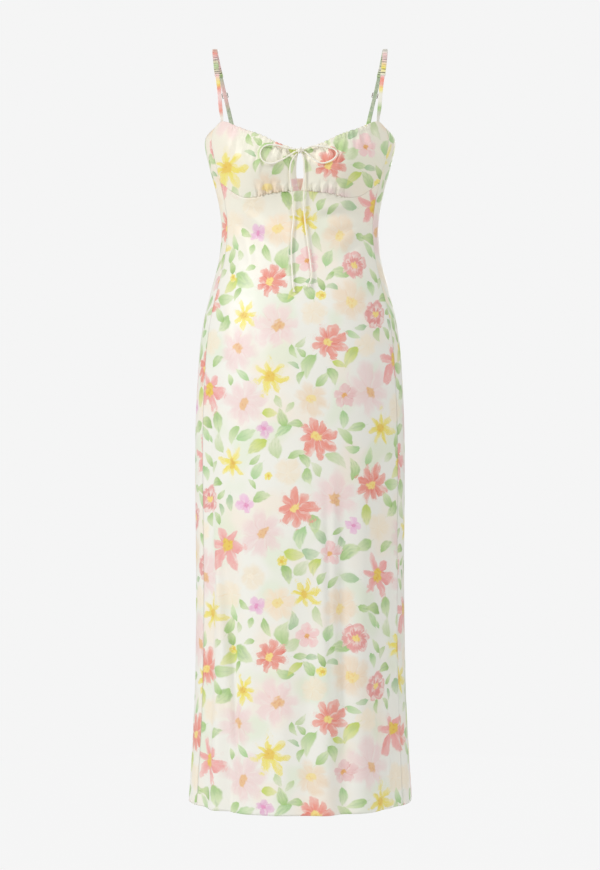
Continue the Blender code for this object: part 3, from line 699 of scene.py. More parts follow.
def strewn_leaves(draw, flowers, laid):
    """One repeat of the leaves: some round each flower, the rest loose where there is room."""
    spots = []
    for flower in flowers:
        start = draw.uniform(0.0, TURN)
        for k in range(draw.choice((1, 2, 2, 3))):
            turn = start + TURN * (k / 3.0 + draw.uniform(-0.06, 0.06))
            half = draw.uniform(*LEAF_HALF_LENGTH)
            away = max(flower["half"]) + 0.8 * half
            at = (flower["at"][0] + away * math.cos(turn), flower["at"][1] + away * math.sin(turn))
            if room_at(at, laid) > 0.4 * half:
                spots.append((at, turn + draw.uniform(-0.6, 0.6), half))
                lay(laid, at, 0.7 * half)
    while len(spots) < LEAF_COUNT:
        at = most_room(draw, laid)
        half = draw.uniform(*LEAF_HALF_LENGTH) * 0.85
        spots.append((at, draw.uniform(0.0, TURN), half))
        lay(laid, at, 0.7 * half)
    made = []
    for at, turn, half in spots:
        _, first, second = draw.choices(LEAF_TINTS, [row[0] for row in LEAF_TINTS])[0]
        made.append({
            "at": at,
            "half": (half, half * draw.uniform(*LEAF_SLIMNESS)),
            "turn": turn,
            "form": (draw.uniform(-0.9, 0.9), draw.random(), 0.0),
            "first": (*srgb(first), draw.random()),
            "second": (*srgb(second), 0.0),
        })
    return made


def design_print():
    """One repeat of the print: its soft washes, its leaves and its blooms."""
    draw = random.Random(PRINT_SEED)
    laid = []
    blooms = strewn_flowers(draw, BLOOMS, laid)
    washes = strewn_flowers(draw, WASHES, laid)
    return {"wash": washes, "leaf": strewn_leaves(draw, blooms + washes, laid), "bloom": blooms}


def reaching(motifs, across, height):
    """The copies of the motifs that may reach a piece of cloth."""
    made = []
    for motif in motifs:
        for at in copies(motif["at"], range(-4, 5), range(-5, 4)):
            beside = across.min() - MARGIN < at[0] < across.max() + MARGIN
            if beside and height.min() - MARGIN < at[1] < height.max() + MARGIN:
                made.append({**motif, "at": at})
    return made


def strap_tints(name, colours):
    """Colours along a strap, which is cut from the print: short stretches that run into each other. The back
    straps' colours also hold painted shade.
    """
    draw = random.Random(name)
    shares = [0.0]
    while shares[-1] < 1.0:
        shares.append(min(1.0, shares[-1] + draw.uniform(0.08, 0.22)))
    return [(share, draw.choice(colours)) for share in shares]


# How many motifs of each kind may lie over one face of the cloth, and how far one reaches in its own frame
SLOTS = {"wash": 2, "leaf": 3, "bloom": 2}
REACH = 1.36
# Motifs this near a piece of cloth, in millimetres, may reach onto it
MARGIN = 60.0


def in_motif(motif, across, height):
    """Places in a motif's own frame, where its edge is about 1."""
    cos, sin = math.cos(motif["turn"]), math.sin(motif["turn"])
    x = across - motif["at"][0]
    y = height - motif["at"][1]
    return (x * cos + y * sin) / motif["half"][0], (y * cos - x * sin) / motif["half"][1]


def lowest_few(faces, values, most):
    """The rows that stay when each face keeps so many, lowest values first, and their place in its face."""
    order = np.lexsort((values, faces))
    row = faces[order]
    place = np.arange(len(order)) - np.searchsorted(row, row, side="left")
    return order[place < most], place[place < most]


def print_cloth(mesh, design, across, height, cut):
    """Writes the print on the cloth, shifted to where the piece is cut. For each face, each slot holds one
    motif that reaches it: the corners' places in the motif's own frame, its form and its two colours."""
    write_attribute(mesh, "cloth_place", "POINT", np.stack((across, height, 0.0 * height), axis=-1) * MM)
    across = across + cut[0]
    height = height + cut[1]
    corners = np.empty(len(mesh.loops), np.int32)
    mesh.loops.foreach_get("vertex_index", corners)
    corners = corners.reshape(-1, 4)
    corner_across = across[corners]
    corner_height = height[corners]
    middle_across = corner_across.mean(axis=1)
    middle_height = corner_height.mean(axis=1)
    for kind in design:
        motifs = sorted(reaching(design[kind], across, height), key=lambda row: -max(row["half"]))
        faces, owners, away = [], [], []
        for number, motif in enumerate(motifs):
            distance = np.hypot(*in_motif(motif, middle_across, middle_height))
            near = np.nonzero(distance < REACH + 4.0 / min(motif["half"]))[0]
            faces.append(near)
            owners.append(np.full(len(near), number))
            away.append(distance[near])
        faces, owners, away = np.concatenate(faces), np.concatenate(owners), np.concatenate(away)
        kept, _ = lowest_few(faces, away, SLOTS[kind])
        faces, owners = faces[kept], owners[kept]
        order, slots = lowest_few(faces, owners, SLOTS[kind])
        faces, owners = faces[order], owners[order]
        facts = np.zeros((SLOTS[kind], 4, len(corners), 4, 3))
        facts[:, 0, :, :, :2] = 9.0
        for number, motif in enumerate(motifs):
            face = faces[owners == number]
            slot = slots[owners == number]
            along, aside = in_motif(motif, corner_across[face], corner_height[face])
            facts[slot, 0, face] = np.stack((along, aside, np.full_like(along, motif["first"][3])), axis=-1)
            facts[slot, 1, face] = motif["form"]
            facts[slot, 2, face] = motif["first"][:3]
            facts[slot, 3, face] = motif["second"][:3]
        for slot in range(SLOTS[kind]):
            for number, part in enumerate(("frame", "form", "first", "second")):
                write_attribute(mesh, f"{kind}{slot}_{part}", "CORNER", facts[slot, number])


# Materials

class Wiring:
    """Adds nodes to one node tree and joins them."""

    def __init__(self, tree):
        self.tree = tree

    def add(self, kind, inputs=None, **settings):
        node = self.tree.nodes.new(kind)
        for key, value in settings.items():
            setattr(node, key, value)
        for key, value in (inputs or {}).items():
            self.feed(node.inputs[key], value)
        return node

    def feed(self, socket, value):
        if isinstance(value, bpy.types.NodeSocket):
            self.tree.links.new(value, socket)
        else:
            socket.default_value = value

    def sum(self, operation, *values):
        return self.add("ShaderNodeMath", dict(enumerate(values)), operation=operation).outputs[0]

    def product(self, *values):
        return self.sum("MULTIPLY", *values)

    def plus(self, *values):
        return self.sum("ADD", *values)

    def minus(self, *values):
        return self.sum("SUBTRACT", *values)

    def vector(self, operation, *values):
        return self.add("ShaderNodeVectorMath", dict(enumerate(values)), operation=operation).outputs[0]

    def scaled(self, vector, size):
        node = self.add("ShaderNodeVectorMath", {0: vector, 3: size}, operation="SCALE")
        return node.outputs[0]

    def parts(self, vector):
        return self.add("ShaderNodeSeparateXYZ", {0: vector}).outputs

    def reach(self, x, y):
        """Length of (x, y)."""
        return self.sum("SQRT", self.sum("MULTIPLY_ADD", x, x, self.sum("MULTIPLY", y, y)))

    def colour_parts(self, colour):
        return self.add("ShaderNodeSeparateColor", {0: colour}).outputs

    def joined(self, x, y, z):
        return self.add("ShaderNodeCombineXYZ", {0: x, 1: y, 2: z}).outputs[0]

    def between(self, value, low, high):
        """0 below low and 1 above high, smoothly; the other way round where low is the greater."""
        inputs = {"Value": value, "From Min": low, "From Max": high}
        return self.add("ShaderNodeMapRange", inputs, interpolation_type="SMOOTHSTEP").outputs[0]

    def spread(self, value, low, high, new_low, new_high):
        inputs = {"Value": value, "From Min": low, "From Max": high, "To Min": new_low, "To Max": new_high}
        return self.add("ShaderNodeMapRange", inputs).outputs[0]

    def mixed(self, share, first, second):
        return self.add("ShaderNodeMix", {0: share, 6: first, 7: second}, data_type="RGBA").outputs[2]

    def times(self, share, first, second):
        inputs = {0: share, 6: first, 7: second}
        return self.add("ShaderNodeMix", inputs, data_type="RGBA", blend_type="MULTIPLY").outputs[2]

    def noise(self, vector, size, detail):
        inputs = {"Vector": vector, "Scale": size, "Detail": detail}
        return self.add("ShaderNodeTexNoise", inputs).outputs


def new_motif_group(name, *more_numbers):
    """A node group for one kind of motif, with its sockets."""
    group = bpy.data.node_groups.new(name, "ShaderNodeTree")
    sockets = [(socket, "INPUT", "Vector") for socket in ("Frame", "Form")]
    sockets += [(socket, "INPUT", "Color") for socket in ("First", "Second")]
    sockets += [(socket, "INPUT", "Float") for socket in ("Softness", "Strength", *more_numbers)]
    sockets += [("Colour", "OUTPUT", "Color"), ("Share", "OUTPUT", "Float")]
    for socket, way, kind in sockets:
        group.interface.new_socket(socket, in_out=way, socket_type="NodeSocket" + kind)
    wire = Wiring(group)
    return group, wire, wire.add("NodeGroupInput").outputs, wire.add("NodeGroupOutput").inputs


PAPER = opaque(250, 247, 238)
# How much longer a flower is to one side
SLANT = 0.16
# Each kind of motif's softness of edge and strength of paint, and the flowers' contrast within
PAINT = {"wash": (0.42, 0.8), "leaf": (0.36, 0.92), "bloom": (0.09, 0.98)}
CONTRAST = {"wash": 0.6, "bloom": 1.0}


def make_flower_group():
    """One watercolour flower in its own frame: petals painted darker down one side, and a heart.
    Rings turn it into a plain round rose."""
    group, wire, given, made = new_motif_group("painted_flower", "Contrast")
    petal = given["First"]
    heart = given["Second"]
    frame_x, frame_y, seed = wire.parts(given["Frame"])
    petals_and_rings, notch, heart_size = wire.parts(given["Form"])
    petals = wire.sum("FLOOR", petals_and_rings)
    rose = wire.between(wire.sum("FRACT", petals_and_rings), 0.8, 0.95)
    shift = wire.product(seed, 17.0)
    flat = wire.joined(frame_x, frame_y, shift)
    wobble_x, wobble_y, _ = wire.colour_parts(wire.noise(flat, 1.9, 2.0)["Color"])
    bent_x = wire.sum("MULTIPLY_ADD", wire.minus(wobble_x, 0.5), 0.46, frame_x)
    bent_y = wire.sum("MULTIPLY_ADD", wire.minus(wobble_y, 0.5), 0.46, frame_y)
    radius = wire.reach(bent_x, bent_y)
    round_share = wire.plus(wire.sum("DIVIDE", wire.sum("ARCTAN2", bent_y, bent_x), TURN), 0.5)
    place = wire.product(round_share, petals)
    petal_number = wire.sum("FLOOR", place)
    aside = wire.minus(wire.product(wire.sum("FRACT", place), 2.0), 1.0)
    edge_ness = wire.sum("ABSOLUTE", aside)
    chance = wire.add(
        "ShaderNodeTexWhiteNoise", {"Vector": wire.joined(petal_number, shift, 0.0)}, noise_dimensions="3D"
    )
    chance_x, chance_y, chance_z = wire.colour_parts(chance.outputs["Color"])
    shortest = wire.spread(notch, 0.3, 0.7, 0.2, 0.46)
    petal_length = wire.minus(1.1, wire.product(chance_x, shortest))
    slant = wire.sum("DIVIDE", bent_x, wire.sum("MAXIMUM", radius, 0.05))
    slant = wire.product(slant, wire.spread(rose, 0.0, 1.0, SLANT, 0.0))
    petal_length = wire.product(petal_length, wire.plus(1.0, slant))
    bluntness = wire.spread(notch, 0.2, 0.6, 3.4, 1.5)
    dip = wire.product(notch, wire.sum("POWER", edge_ness, bluntness))
    rim = wire.product(petal_length, wire.minus(1.0, dip))
    brush = wire.noise(
        wire.joined(
            wire.plus(wire.product(aside, 0.75), wire.product(petal_number, 3.7)),
            wire.product(radius, 0.8),
            shift,
        ),
        2.4,
        2.0,
    )[0]
    to_rim = wire.minus(rim, radius)
    inside = wire.plus(wire.sum("DIVIDE", to_rim, given["Softness"]), 0.5)
    paint = wire.between(inside, 0.0, 1.0)
    lit_side = wire.sum("MULTIPLY_ADD", wire.minus(brush, 0.5), 3.2, aside)
    pale = wire.product(wire.between(lit_side, 0.1, 1.4), 0.6)
    tip = wire.product(wire.between(to_rim, 0.45, 0.02), 0.42)
    pale = wire.sum("MAXIMUM", pale, wire.product(tip, chance_z))
    pale = wire.product(pale, given["Contrast"])
    colour = wire.mixed(pale, petal, PAPER)
    deep = wire.times(0.85, petal, petal)
    gap = wire.product(wire.between(wire.sum("ABSOLUTE", wire.plus(aside, 0.06)), 0.86, 1.0), 0.95)
    gap = wire.product(gap, wire.between(radius, 0.1, 0.3))
    near_heart = wire.product(wire.between(radius, 0.55, 0.1), 0.3)
    own = wire.product(chance_y, wire.product(wire.between(lit_side, 0.3, -1.4), 0.55))
    dark = wire.sum("MAXIMUM", wire.sum("MAXIMUM", gap, near_heart), own)
    dark = wire.product(dark, wire.spread(brush, 0.35, 0.65, 1.1, 0.6))
    winding = wire.sum("MULTIPLY_ADD", radius, 1.7, round_share)
    winding = wire.sum("MULTIPLY_ADD", brush, 1.3, winding)
    wave = wire.sum("SINE", wire.product(winding, TURN))
    inner = wire.spread(radius, 0.5, 0.95, 0.5, 0.1)
    band = wire.product(wire.between(wave, 0.3, 0.95), wire.product(rose, inner))
    light_band = wire.product(wire.between(wave, -0.2, -0.9), wire.product(rose, 0.5))
    colour = wire.mixed(light_band, colour, PAPER)
    dark = wire.product(wire.sum("MAXIMUM", dark, band), given["Contrast"])
    colour = wire.mixed(dark, colour, deep)
    fine = wire.noise(flat, 7.0, 1.0)[0]
    ragged = wire.plus(radius, wire.product(wire.minus(fine, 0.5), 0.3))
    in_heart = wire.between(ragged, wire.plus(heart_size, 0.06), wire.minus(heart_size, 0.06))
    heart_deep = wire.times(1.0, heart, heart)
    spots = wire.product(wire.between(fine, 0.52, 0.6), 0.5)
    colour = wire.mixed(in_heart, colour, wire.mixed(spots, heart, heart_deep))
    within = wire.between(wire.reach(frame_x, frame_y), REACH, REACH - 0.12)
    share = wire.product(wire.product(paint, within), given["Strength"])
    wire.feed(made["Colour"], colour)
    wire.feed(made["Share"], wire.product(share, wire.spread(brush, 0.3, 0.7, 1.0, 0.86)))
    return group


def make_leaf_group():
    """One watercolour leaf in its own frame, its length along X."""
    group, wire, given, made = new_motif_group("painted_leaf")
    along, aside, seed = wire.parts(given["Frame"])
    within = wire.between(wire.reach(along, aside), REACH, REACH - 0.12)
    bend, lean, _ = wire.parts(given["Form"])
    shift = wire.product(seed, 23.0)
    flat = wire.joined(along, wire.product(aside, 0.5), shift)
    wobble_x, wobble_y, _ = wire.colour_parts(wire.noise(flat, 2.4, 2.0)["Color"])
    along = wire.sum("MULTIPLY_ADD", wire.minus(wobble_x, 0.5), 0.4, along)
    aside = wire.sum("MULTIPLY_ADD", wire.minus(wobble_y, 0.5), 0.4, aside)
    curve = wire.product(bend, wire.minus(wire.product(along, along), 0.3))
    aside = wire.sum("ABSOLUTE", wire.plus(aside, curve))
    taper = wire.sum("MAXIMUM", wire.minus(1.0, wire.product(along, along)), 0.0)
    taper = wire.sum("POWER", taper, 0.85)
    taper = wire.product(taper, wire.minus(1.0, wire.product(along, 0.3)))
    inside = wire.plus(wire.sum("DIVIDE", wire.minus(taper, aside), given["Softness"]), 0.4)
    paint = wire.between(inside, 0.0, 1.0)
    streak = wire.noise(wire.joined(wire.product(along, 0.9), wire.product(aside, 1.6), shift), 1.6, 1.5)[0]
    turn = wire.between(wire.plus(along, wire.product(streak, 1.2)), -0.5, 1.5)
    colour = wire.mixed(turn, given["First"], given["Second"])
    deep = wire.times(0.6, given["First"], given["First"])
    dark = wire.product(wire.between(streak, 0.42, 0.7), wire.sum("MULTIPLY_ADD", lean, 0.4, 0.45))
    colour = wire.mixed(dark, colour, deep)
    rib = wire.product(wire.between(aside, 0.2, 0.0), wire.between(wire.sum("ABSOLUTE", along), 0.9, 0.4))
    colour = wire.mixed(wire.product(rib, 0.22), colour, deep)
    share = wire.product(wire.product(paint, within), given["Strength"])
    wire.feed(made["Colour"], colour)
    wire.feed(made["Share"], wire.product(share, wire.spread(turn, 0.0, 1.0, 1.0, 0.62)))
    return group


def new_material(name):
    """A material with its wiring and its shader."""
    material = bpy.data.materials.new(name)
    material.use_nodes = True
    wire = Wiring(material.node_tree)
    return material, wire, material.node_tree.nodes["Principled BSDF"]


def satin_bump(wire, place, strength):
    """The fine ribs and slight unevenness of satin, from a place on the cloth in metres."""
    warp = wire.add(
        "ShaderNodeTexWave",
        {"Vector": place, "Scale": 620.0, "Distortion": 1.2, "Detail": 2.0},
        wave_type="BANDS",
        bands_direction="X",
    ).outputs["Fac"]
    slub = wire.noise(wire.vector("MULTIPLY", place, (900.0, 90.0, 900.0)), 1.0, 3.0)[0]
    soft = wire.noise(place, 26.0, 2.0)[0]
    relief = wire.plus(wire.product(warp, 0.35), slub)
    fine = wire.add("ShaderNodeBump", {"Strength": strength, "Distance": 0.0002, "Height": relief})
    return wire.add(
        "ShaderNodeBump", {"Strength": 0.25, "Distance": 0.0022, "Height": soft, "Normal": fine.outputs[0]}
    ).outputs[0]


def make_printed_satin(name, flower, leaf, fade):
    """Ivory satin with the painted print. fade is how much of the print the reverse loses."""
    material, wire, shader = new_material(name)
    place = wire.add("ShaderNodeAttribute", attribute_name="cloth_place").outputs["Vector"]
    patches = wire.noise(place, 11.0, 2.0)
    height = wire.parts(place)[1]
    cream = wire.product(wire.between(height, -0.46, -0.2), 0.75)
    ground = wire.mixed(cream, opaque(245, 244, 235), opaque(243, 238, 218))
    warm = wire.product(wire.between(patches[0], 0.48, 0.68), 0.62)
    ground = wire.mixed(warm, ground, opaque(251, 238, 220))
    cool = wire.between(wire.noise(place, 13.0, 1.0)[0], 0.52, 0.68)
    cool = wire.product(cool, wire.spread(cream, 0.0, 0.7, 0.6, 0.25))
    colour = wire.mixed(cool, ground, opaque(230, 240, 214))
    for kind, number in [(kind, number) for kind, most in SLOTS.items() for number in range(most)]:
        softness, strength = PAINT[kind]
        group = leaf if kind == "leaf" else flower
        read = {
            part: wire.add("ShaderNodeAttribute", attribute_name=f"{kind}{number}_{part}").outputs
            for part in ("frame", "form", "first", "second")
        }
        painted = wire.add("ShaderNodeGroup", node_tree=group)
        # A millionth of the colour so far puts this motif's sums after the last one's,
        # because all of them at once don't fit
        after = wire.scaled(colour, 1e-6)
        wire.feed(painted.inputs["Frame"], wire.vector("ADD", read["frame"]["Vector"], after))
        wire.feed(painted.inputs["Form"], read["form"]["Vector"])
        wire.feed(painted.inputs["First"], read["first"]["Color"])
        wire.feed(painted.inputs["Second"], read["second"]["Color"])
        wire.feed(painted.inputs["Softness"], softness)
        if group == flower:
            wire.feed(painted.inputs["Contrast"], CONTRAST[kind])
        wire.feed(painted.inputs["Strength"], strength * (1.0 - fade))
        colour = wire.mixed(painted.outputs["Share"], colour, painted.outputs["Colour"])
    wire.feed(shader.inputs["Base Color"], colour)
    sheen_patches = wire.spread(wire.noise(place, 60.0, 2.0)[0], 0.3, 0.7, 0.40, 0.50)
    wire.feed(shader.inputs["Roughness"], sheen_patches)
    shader.inputs["Specular IOR Level"].default_value = 0.42
    shader.inputs["Sheen Weight"].default_value = 0.12
    shader.inputs["Sheen Roughness"].default_value = 0.45
    wire.feed(shader.inputs["Normal"], satin_bump(wire, place, 0.12 if fade == 0 else 0.3))
    return material


def make_strap_satin():
    """The same satin on the narrow straps, where only patches of the flowers show."""
    material, wire, shader = new_material("strap_satin")
    place = wire.add("ShaderNodeTexCoord").outputs["Object"]
    # The strap colour attribute holds the print's colours with painted shade: darker in the ruched valleys
    # and greyer on the back straps
    tint = wire.add("ShaderNodeAttribute", attribute_name="strap_tint").outputs["Color"]
    patches = wire.between(wire.noise(place, 150.0, 2.0)[0], 0.42, 0.6)
    deep = wire.times(0.5, tint, tint)
    spots = wire.between(wire.noise(place, 240.0, 1.0)[0], 0.48, 0.76)
    colour = wire.mixed(wire.product(patches, 0.25), tint, opaque(242, 238, 226))
    wire.feed(shader.inputs["Base Color"], wire.mixed(wire.product(spots, 0.5), colour, deep))
    shader.inputs["Roughness"].default_value = 0.46
    shader.inputs["Specular IOR Level"].default_value = 0.4
    shader.inputs["Sheen Weight"].default_value = 0.12
    wire.feed(shader.inputs["Normal"], satin_bump(wire, place, 0.12))
    return material


def make_plain_satin():
    """Ivory satin of the rouleau cord, cut on the bias, so its ribs run round it."""
    material, wire, shader = new_material("cord_satin")
    place = wire.add("ShaderNodeTexCoord").outputs["Object"]
    shade = wire.between(wire.noise(place, 90.0, 2.0)[0], 0.35, 0.7)
    colour = wire.mixed(shade, opaque(252, 249, 238), opaque(246, 241, 224))
    wire.feed(shader.inputs["Base Color"], colour)
    shader.inputs["Roughness"].default_value = 0.38
    shader.inputs["Sheen Weight"].default_value = 0.15
    run = wire.add("ShaderNodeUVMap", uv_map="UVMap").outputs["UV"]
    ribs = wire.add(
        "ShaderNodeTexWave",
        {"Vector": run, "Scale": 14.0, "Distortion": 2.5, "Detail": 2.0},
        wave_type="BANDS",
        bands_direction="DIAGONAL",
    ).outputs["Fac"]
    bump = wire.add("ShaderNodeBump", {"Strength": 0.18, "Distance": 0.0003, "Height": ribs})
    wire.feed(shader.inputs["Normal"], bump.outputs[0])
    return material


def make_strap_metal():
    """Polished pale metal with fine scratches."""
    material, wire, shader = new_material("strap_metal")
    place = wire.add("ShaderNodeTexCoord").outputs["Object"]
    scratches = wire.noise(wire.vector("MULTIPLY", place, (300.0, 300.0, 3000.0)), 1.0, 3.0)[0]
    shader.inputs["Metallic"].default_value = 1.0
    colour = wire.mixed(wire.between(scratches, 0.3, 0.8), (0.52, 0.50, 0.46, 1.0), (0.36, 0.34, 0.31, 1.0))
    wire.feed(shader.inputs["Base Color"], colour)
    wire.feed(shader.inputs["Roughness"], wire.spread(scratches, 0.3, 0.7, 0.16, 0.32))
    return material


def make_zip_finish():
    """Woven zip tape with its coil down the middle."""
    material, wire, shader = new_material("zip_tape")
    run = wire.add("ShaderNodeUVMap", uv_map="UVMap").outputs["UV"]
    across, along, _ = wire.parts(run)
    off_middle = wire.sum("ABSOLUTE", wire.minus(across, 0.5))
    coil = wire.between(off_middle, 0.13, 0.11)
    teeth = wire.sum("SINE", wire.product(along, 1900.0))
    weave = wire.sum("SINE", wire.product(wire.plus(wire.product(off_middle, 0.06), along), 3600.0))
    relief = wire.add("ShaderNodeMix", {0: coil, 2: wire.product(weave, 0.3), 3: teeth}).outputs[0]
    # Painted shade: the tape's colour darkens with its relief, between the coil's teeth and in the weave's
    # grooves
    shade = wire.spread(relief, -1.0, 1.0, 0.0, 1.0)
    colour = wire.mixed(shade, opaque(214, 208, 190), opaque(242, 238, 226))
    wire.feed(shader.inputs["Base Color"], colour)
    shader.inputs["Roughness"].default_value = 0.7
    bump = wire.add("ShaderNodeBump", {"Strength": 0.5, "Distance": 0.0004, "Height": relief})
    wire.feed(shader.inputs["Normal"], bump.outputs[0])
    return material


# Camera, floor and lights

def make_camera():
    """Straight in front, level with the dress's middle."""
    data = bpy.data.cameras.new("camera")
    data.sensor_width = SENSOR_WIDTH
    data.lens = SENSOR_WIDTH * CAMERA_DISTANCE / (PHOTO_HEIGHT * PIXEL)
    data.clip_start = 0.1
    data.clip_end = 200.0
    camera = bpy.data.objects.new("camera", data)
    camera.location = (0.0, -CAMERA_DISTANCE, CAMERA_HEIGHT)
    camera.rotation_euler = (math.pi / 2, 0.0, 0.0)
    bpy.context.scene.collection.objects.link(camera)
    bpy.context.scene.camera = camera


def make_floor():
    """A plain pale floor below the hem."""
    shape = bmesh.new()
    bmesh.ops.create_circle(shape, cap_ends=True, segments=96, radius=FLOOR_RADIUS)
    for vert in shape.verts:
        vert.co.z = FLOOR_HEIGHT
    mesh = bpy.data.meshes.new("floor")
    shape.to_mesh(mesh)
    shape.free()
    floor = bpy.data.objects.new("floor", mesh)
    bpy.context.scene.collection.objects.link(floor)
    material, _, shader = new_material("pale_floor")
    shader.inputs["Base Color"].default_value = (0.02, 0.02, 0.02, 1.0)
    shader.inputs["Roughness"].default_value = 0.9
    shader.inputs["Specular IOR Level"].default_value = 0.0
    shader.inputs["Emission Color"].default_value = opaque(*BACKDROP)
    shader.inputs["Emission Strength"].default_value = FLOOR_GLOW
    mesh.materials.append(material)


def add_light(name, place, size, power):
    """A large soft light, aimed at the dress."""
    data = bpy.data.lights.new(name, "AREA")
    data.shape = "RECTANGLE"
    data.size, data.size_y = size
    data.energy = power
    light = bpy.data.objects.new(name, data)
    light.location = place
    light.rotation_euler = (Vector(LIGHT_AIM) - Vector(place)).to_track_quat("-Z", "Y").to_euler()
    bpy.context.scene.collection.objects.link(light)


def make_lights():
    """An even pale studio, brighter to the camera, with a soft key at its upper left and weaker lights at
    the right and behind."""
    world = bpy.data.worlds.new("studio")
    world.use_nodes = True
    wire = Wiring(world.node_tree)
    back = world.node_tree.nodes["Background"]
    back.inputs["Color"].default_value = (1.0, 1.0, 1.0, 1.0)
    seen = wire.add("ShaderNodeLightPath").outputs["Is Camera Ray"]
    pale = srgb(BACKDROP)[0]
    strength = wire.sum("MULTIPLY_ADD", seen, pale - STUDIO_STRENGTH, STUDIO_STRENGTH)
    wire.feed(back.inputs["Strength"], strength)
    bpy.context.scene.world = world
    for row in LIGHTS:
        add_light(*row)
    bpy.context.scene.view_settings.view_transform = "Standard"


# The dress

def make_panel(name, first, last, columns, top_edge, creases, middle, design, cut, materials):
    """Front or back: one long panel of printed cloth from its top edge to the hem, hanging in folds."""
    kept = {}

    def place(u, v):
        angle = first + (last - first) * u
        top = top_edge(angle)
        height = HEM + (top - HEM) * v
        across = cloth_across(angle - middle, height)
        seen = section(height, 1) * np.sin(angle) / MM * (1.0 if middle == 0 else -1.0)
        rise = crease_rise(creases, seen, height / MM)
        hem_turn = ease((height - HEM - 19.0 * MM) / (-4.0 * MM)) * 0.35 * MM
        pucker = HEM_PUCKER * np.exp(-(((height - HEM - HEM_DEPTH) / HEM_STITCH) ** 2))
        top_pucker = pucker_rise(across / MM, (top - height) / MM) if middle == 0 else 0.0
        rise = rise + hem_turn - pucker + top_pucker
        kept["across"] = across / MM
        kept["height"] = height / MM
        return surface(angle, height) + outward(angle, height) * rise[:, None]

    mesh, _, _ = lay_grid(columns, PANEL_ROWS, place)
    print_cloth(mesh, design, kept["across"], kept["height"], cut)
    panel = link(name, mesh)
    cloth_wall(panel, materials)
    return panel


def pucker_rise(across, below):
    """Small puckers where the skirt is sewn to the gathered cups, either side of the keyhole."""
    share = np.exp(-(((np.abs(across) - 34.0) / 17.0) ** 2)) * np.exp(-below / 9.0)
    return 0.5 * MM * share * np.sin(across * 1.15 + 1.3 * np.sin(across * 0.31))


def make_cup(side_name, side, design, materials):
    """One bust cup: gathered onto the casing at the neckline and into the underbust seam."""
    gap = 0.5 * SEAM_GAP / section(np.float64(-0.2), 1)
    last = SIDE_SEAM - gap
    kept = {}

    def place(u, v):
        share_u = u if side > 0 else 1.0 - u
        nominal = last * share_u
        seam = underbust_height(nominal) + 0.5 * SEAM_GAP
        edge = edge_height(NECKLINE, nominal)
        height = seam + (edge - seam) * v
        opening = KEYHOLE_END_GAP + KEYHOLE_SWELL * np.sin(np.pi * np.clip(v, 0.0, 1.0)) ** 0.8
        start = np.arcsin(opening / section(height, 1))
        angle = side * (start + (last - start) * nominal / last)
        seen = section(height, 1) * np.sin(angle) / MM
        below = (edge - height) / MM
        above = (height - seam) / MM
        creases = (*CUP_CREASES[side_name], *seam_gathers(side))
        rise = 0.85 * crease_rise(creases, seen, height / MM)
        rise = rise + gather_rise(np.abs(seen), below, above, side)
        kept["across"] = seen
        kept["height"] = height / MM
        return surface(angle, height) + outward(angle, height) * rise[:, None]

    mesh, _, _ = lay_grid(CUP_COLUMNS, CUP_ROWS, place)
    print_cloth(mesh, design, kept["across"], kept["height"], CUP_CUTS[side_name])
    cup = link("cup_cloth_" + side_name, mesh)
    cloth_wall(cup, materials)
    return cup


def gather_rise(across, below, above, side):
    """The casing with its fine gathers at the neckline, and the fine gathers of the underbust seam."""
    lean = across - 0.25 * below
    wave = np.sin(0.92 * lean + 1.7 * np.sin(0.17 * lean + side) + 0.6 * np.sin(0.41 * lean))
    reach = 10.0 + 5.0 * np.sin(0.13 * lean + 2.0 * side)
    along_neck = ease((across - 4.0) / 10.0) * ease((118.0 - across) / 12.0)
    strong = 0.55 + 0.45 * np.sin(0.075 * across + 1.2 + 0.7 * side) ** 2
    top = 1.7 * along_neck * strong * wave * np.exp(-below / reach)
    casing = 1.0 * ease((8.5 - below) / 3.0) * ease((122.0 - across) / 8.0)
    stitch = -0.45 * np.exp(-(((below - 8.0) / 1.0) ** 2)) * along_neck
    seam_wave = np.sin(1.25 * across + 1.4 * np.sin(0.23 * across + side))
    near_seam = ease((across - 8.0) / 8.0) * ease((88.0 - across) / 24.0)
    bottom = 1.5 * near_seam * seam_wave * np.exp(-above / 4.5)
    fullness = 0.9 * near_seam * np.exp(-(((above - 11.0) / 9.0) ** 2))
    return (top + casing + stitch + bottom + fullness) * MM


def make_cloth():
    """The two panels and the two cups, each a sheet of printed satin."""
    flower = make_flower_group()
    leaf = make_leaf_group()
    face = make_printed_satin("printed_satin", flower, leaf, 0.0)
    reverse = make_printed_satin("printed_satin_reverse", flower, leaf, 0.45)
    gap = 0.5 * SEAM_GAP / section(np.float64(-0.3), 1)

    def front_top(angle):
        return underbust_height(angle) - 0.5 * SEAM_GAP

    def back_top(angle):
        return edge_height(BACK_EDGE, math.pi - np.abs(math.pi - angle))

    edge = SIDE_SEAM - gap
    design = design_print()
    front = make_panel(
        "front_cloth", -edge, edge, FRONT_COLUMNS, front_top, CREASES, 0.0,
        design, FRONT_CUT, (face, reverse),
    )
    back = make_panel(
        "back_cloth", SIDE_SEAM + gap, TURN - SIDE_SEAM - gap, BACK_COLUMNS, back_top, BACK_CREASES, math.pi,
        design, BACK_CUT, (face, reverse)
    )
    left = make_cup("left", -1.0, design, (face, reverse))
    right = make_cup("right", 1.0, design, (face, reverse))
    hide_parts("front_panel")
    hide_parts("back_panel")
    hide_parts("cup_left")
    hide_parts("cup_right")


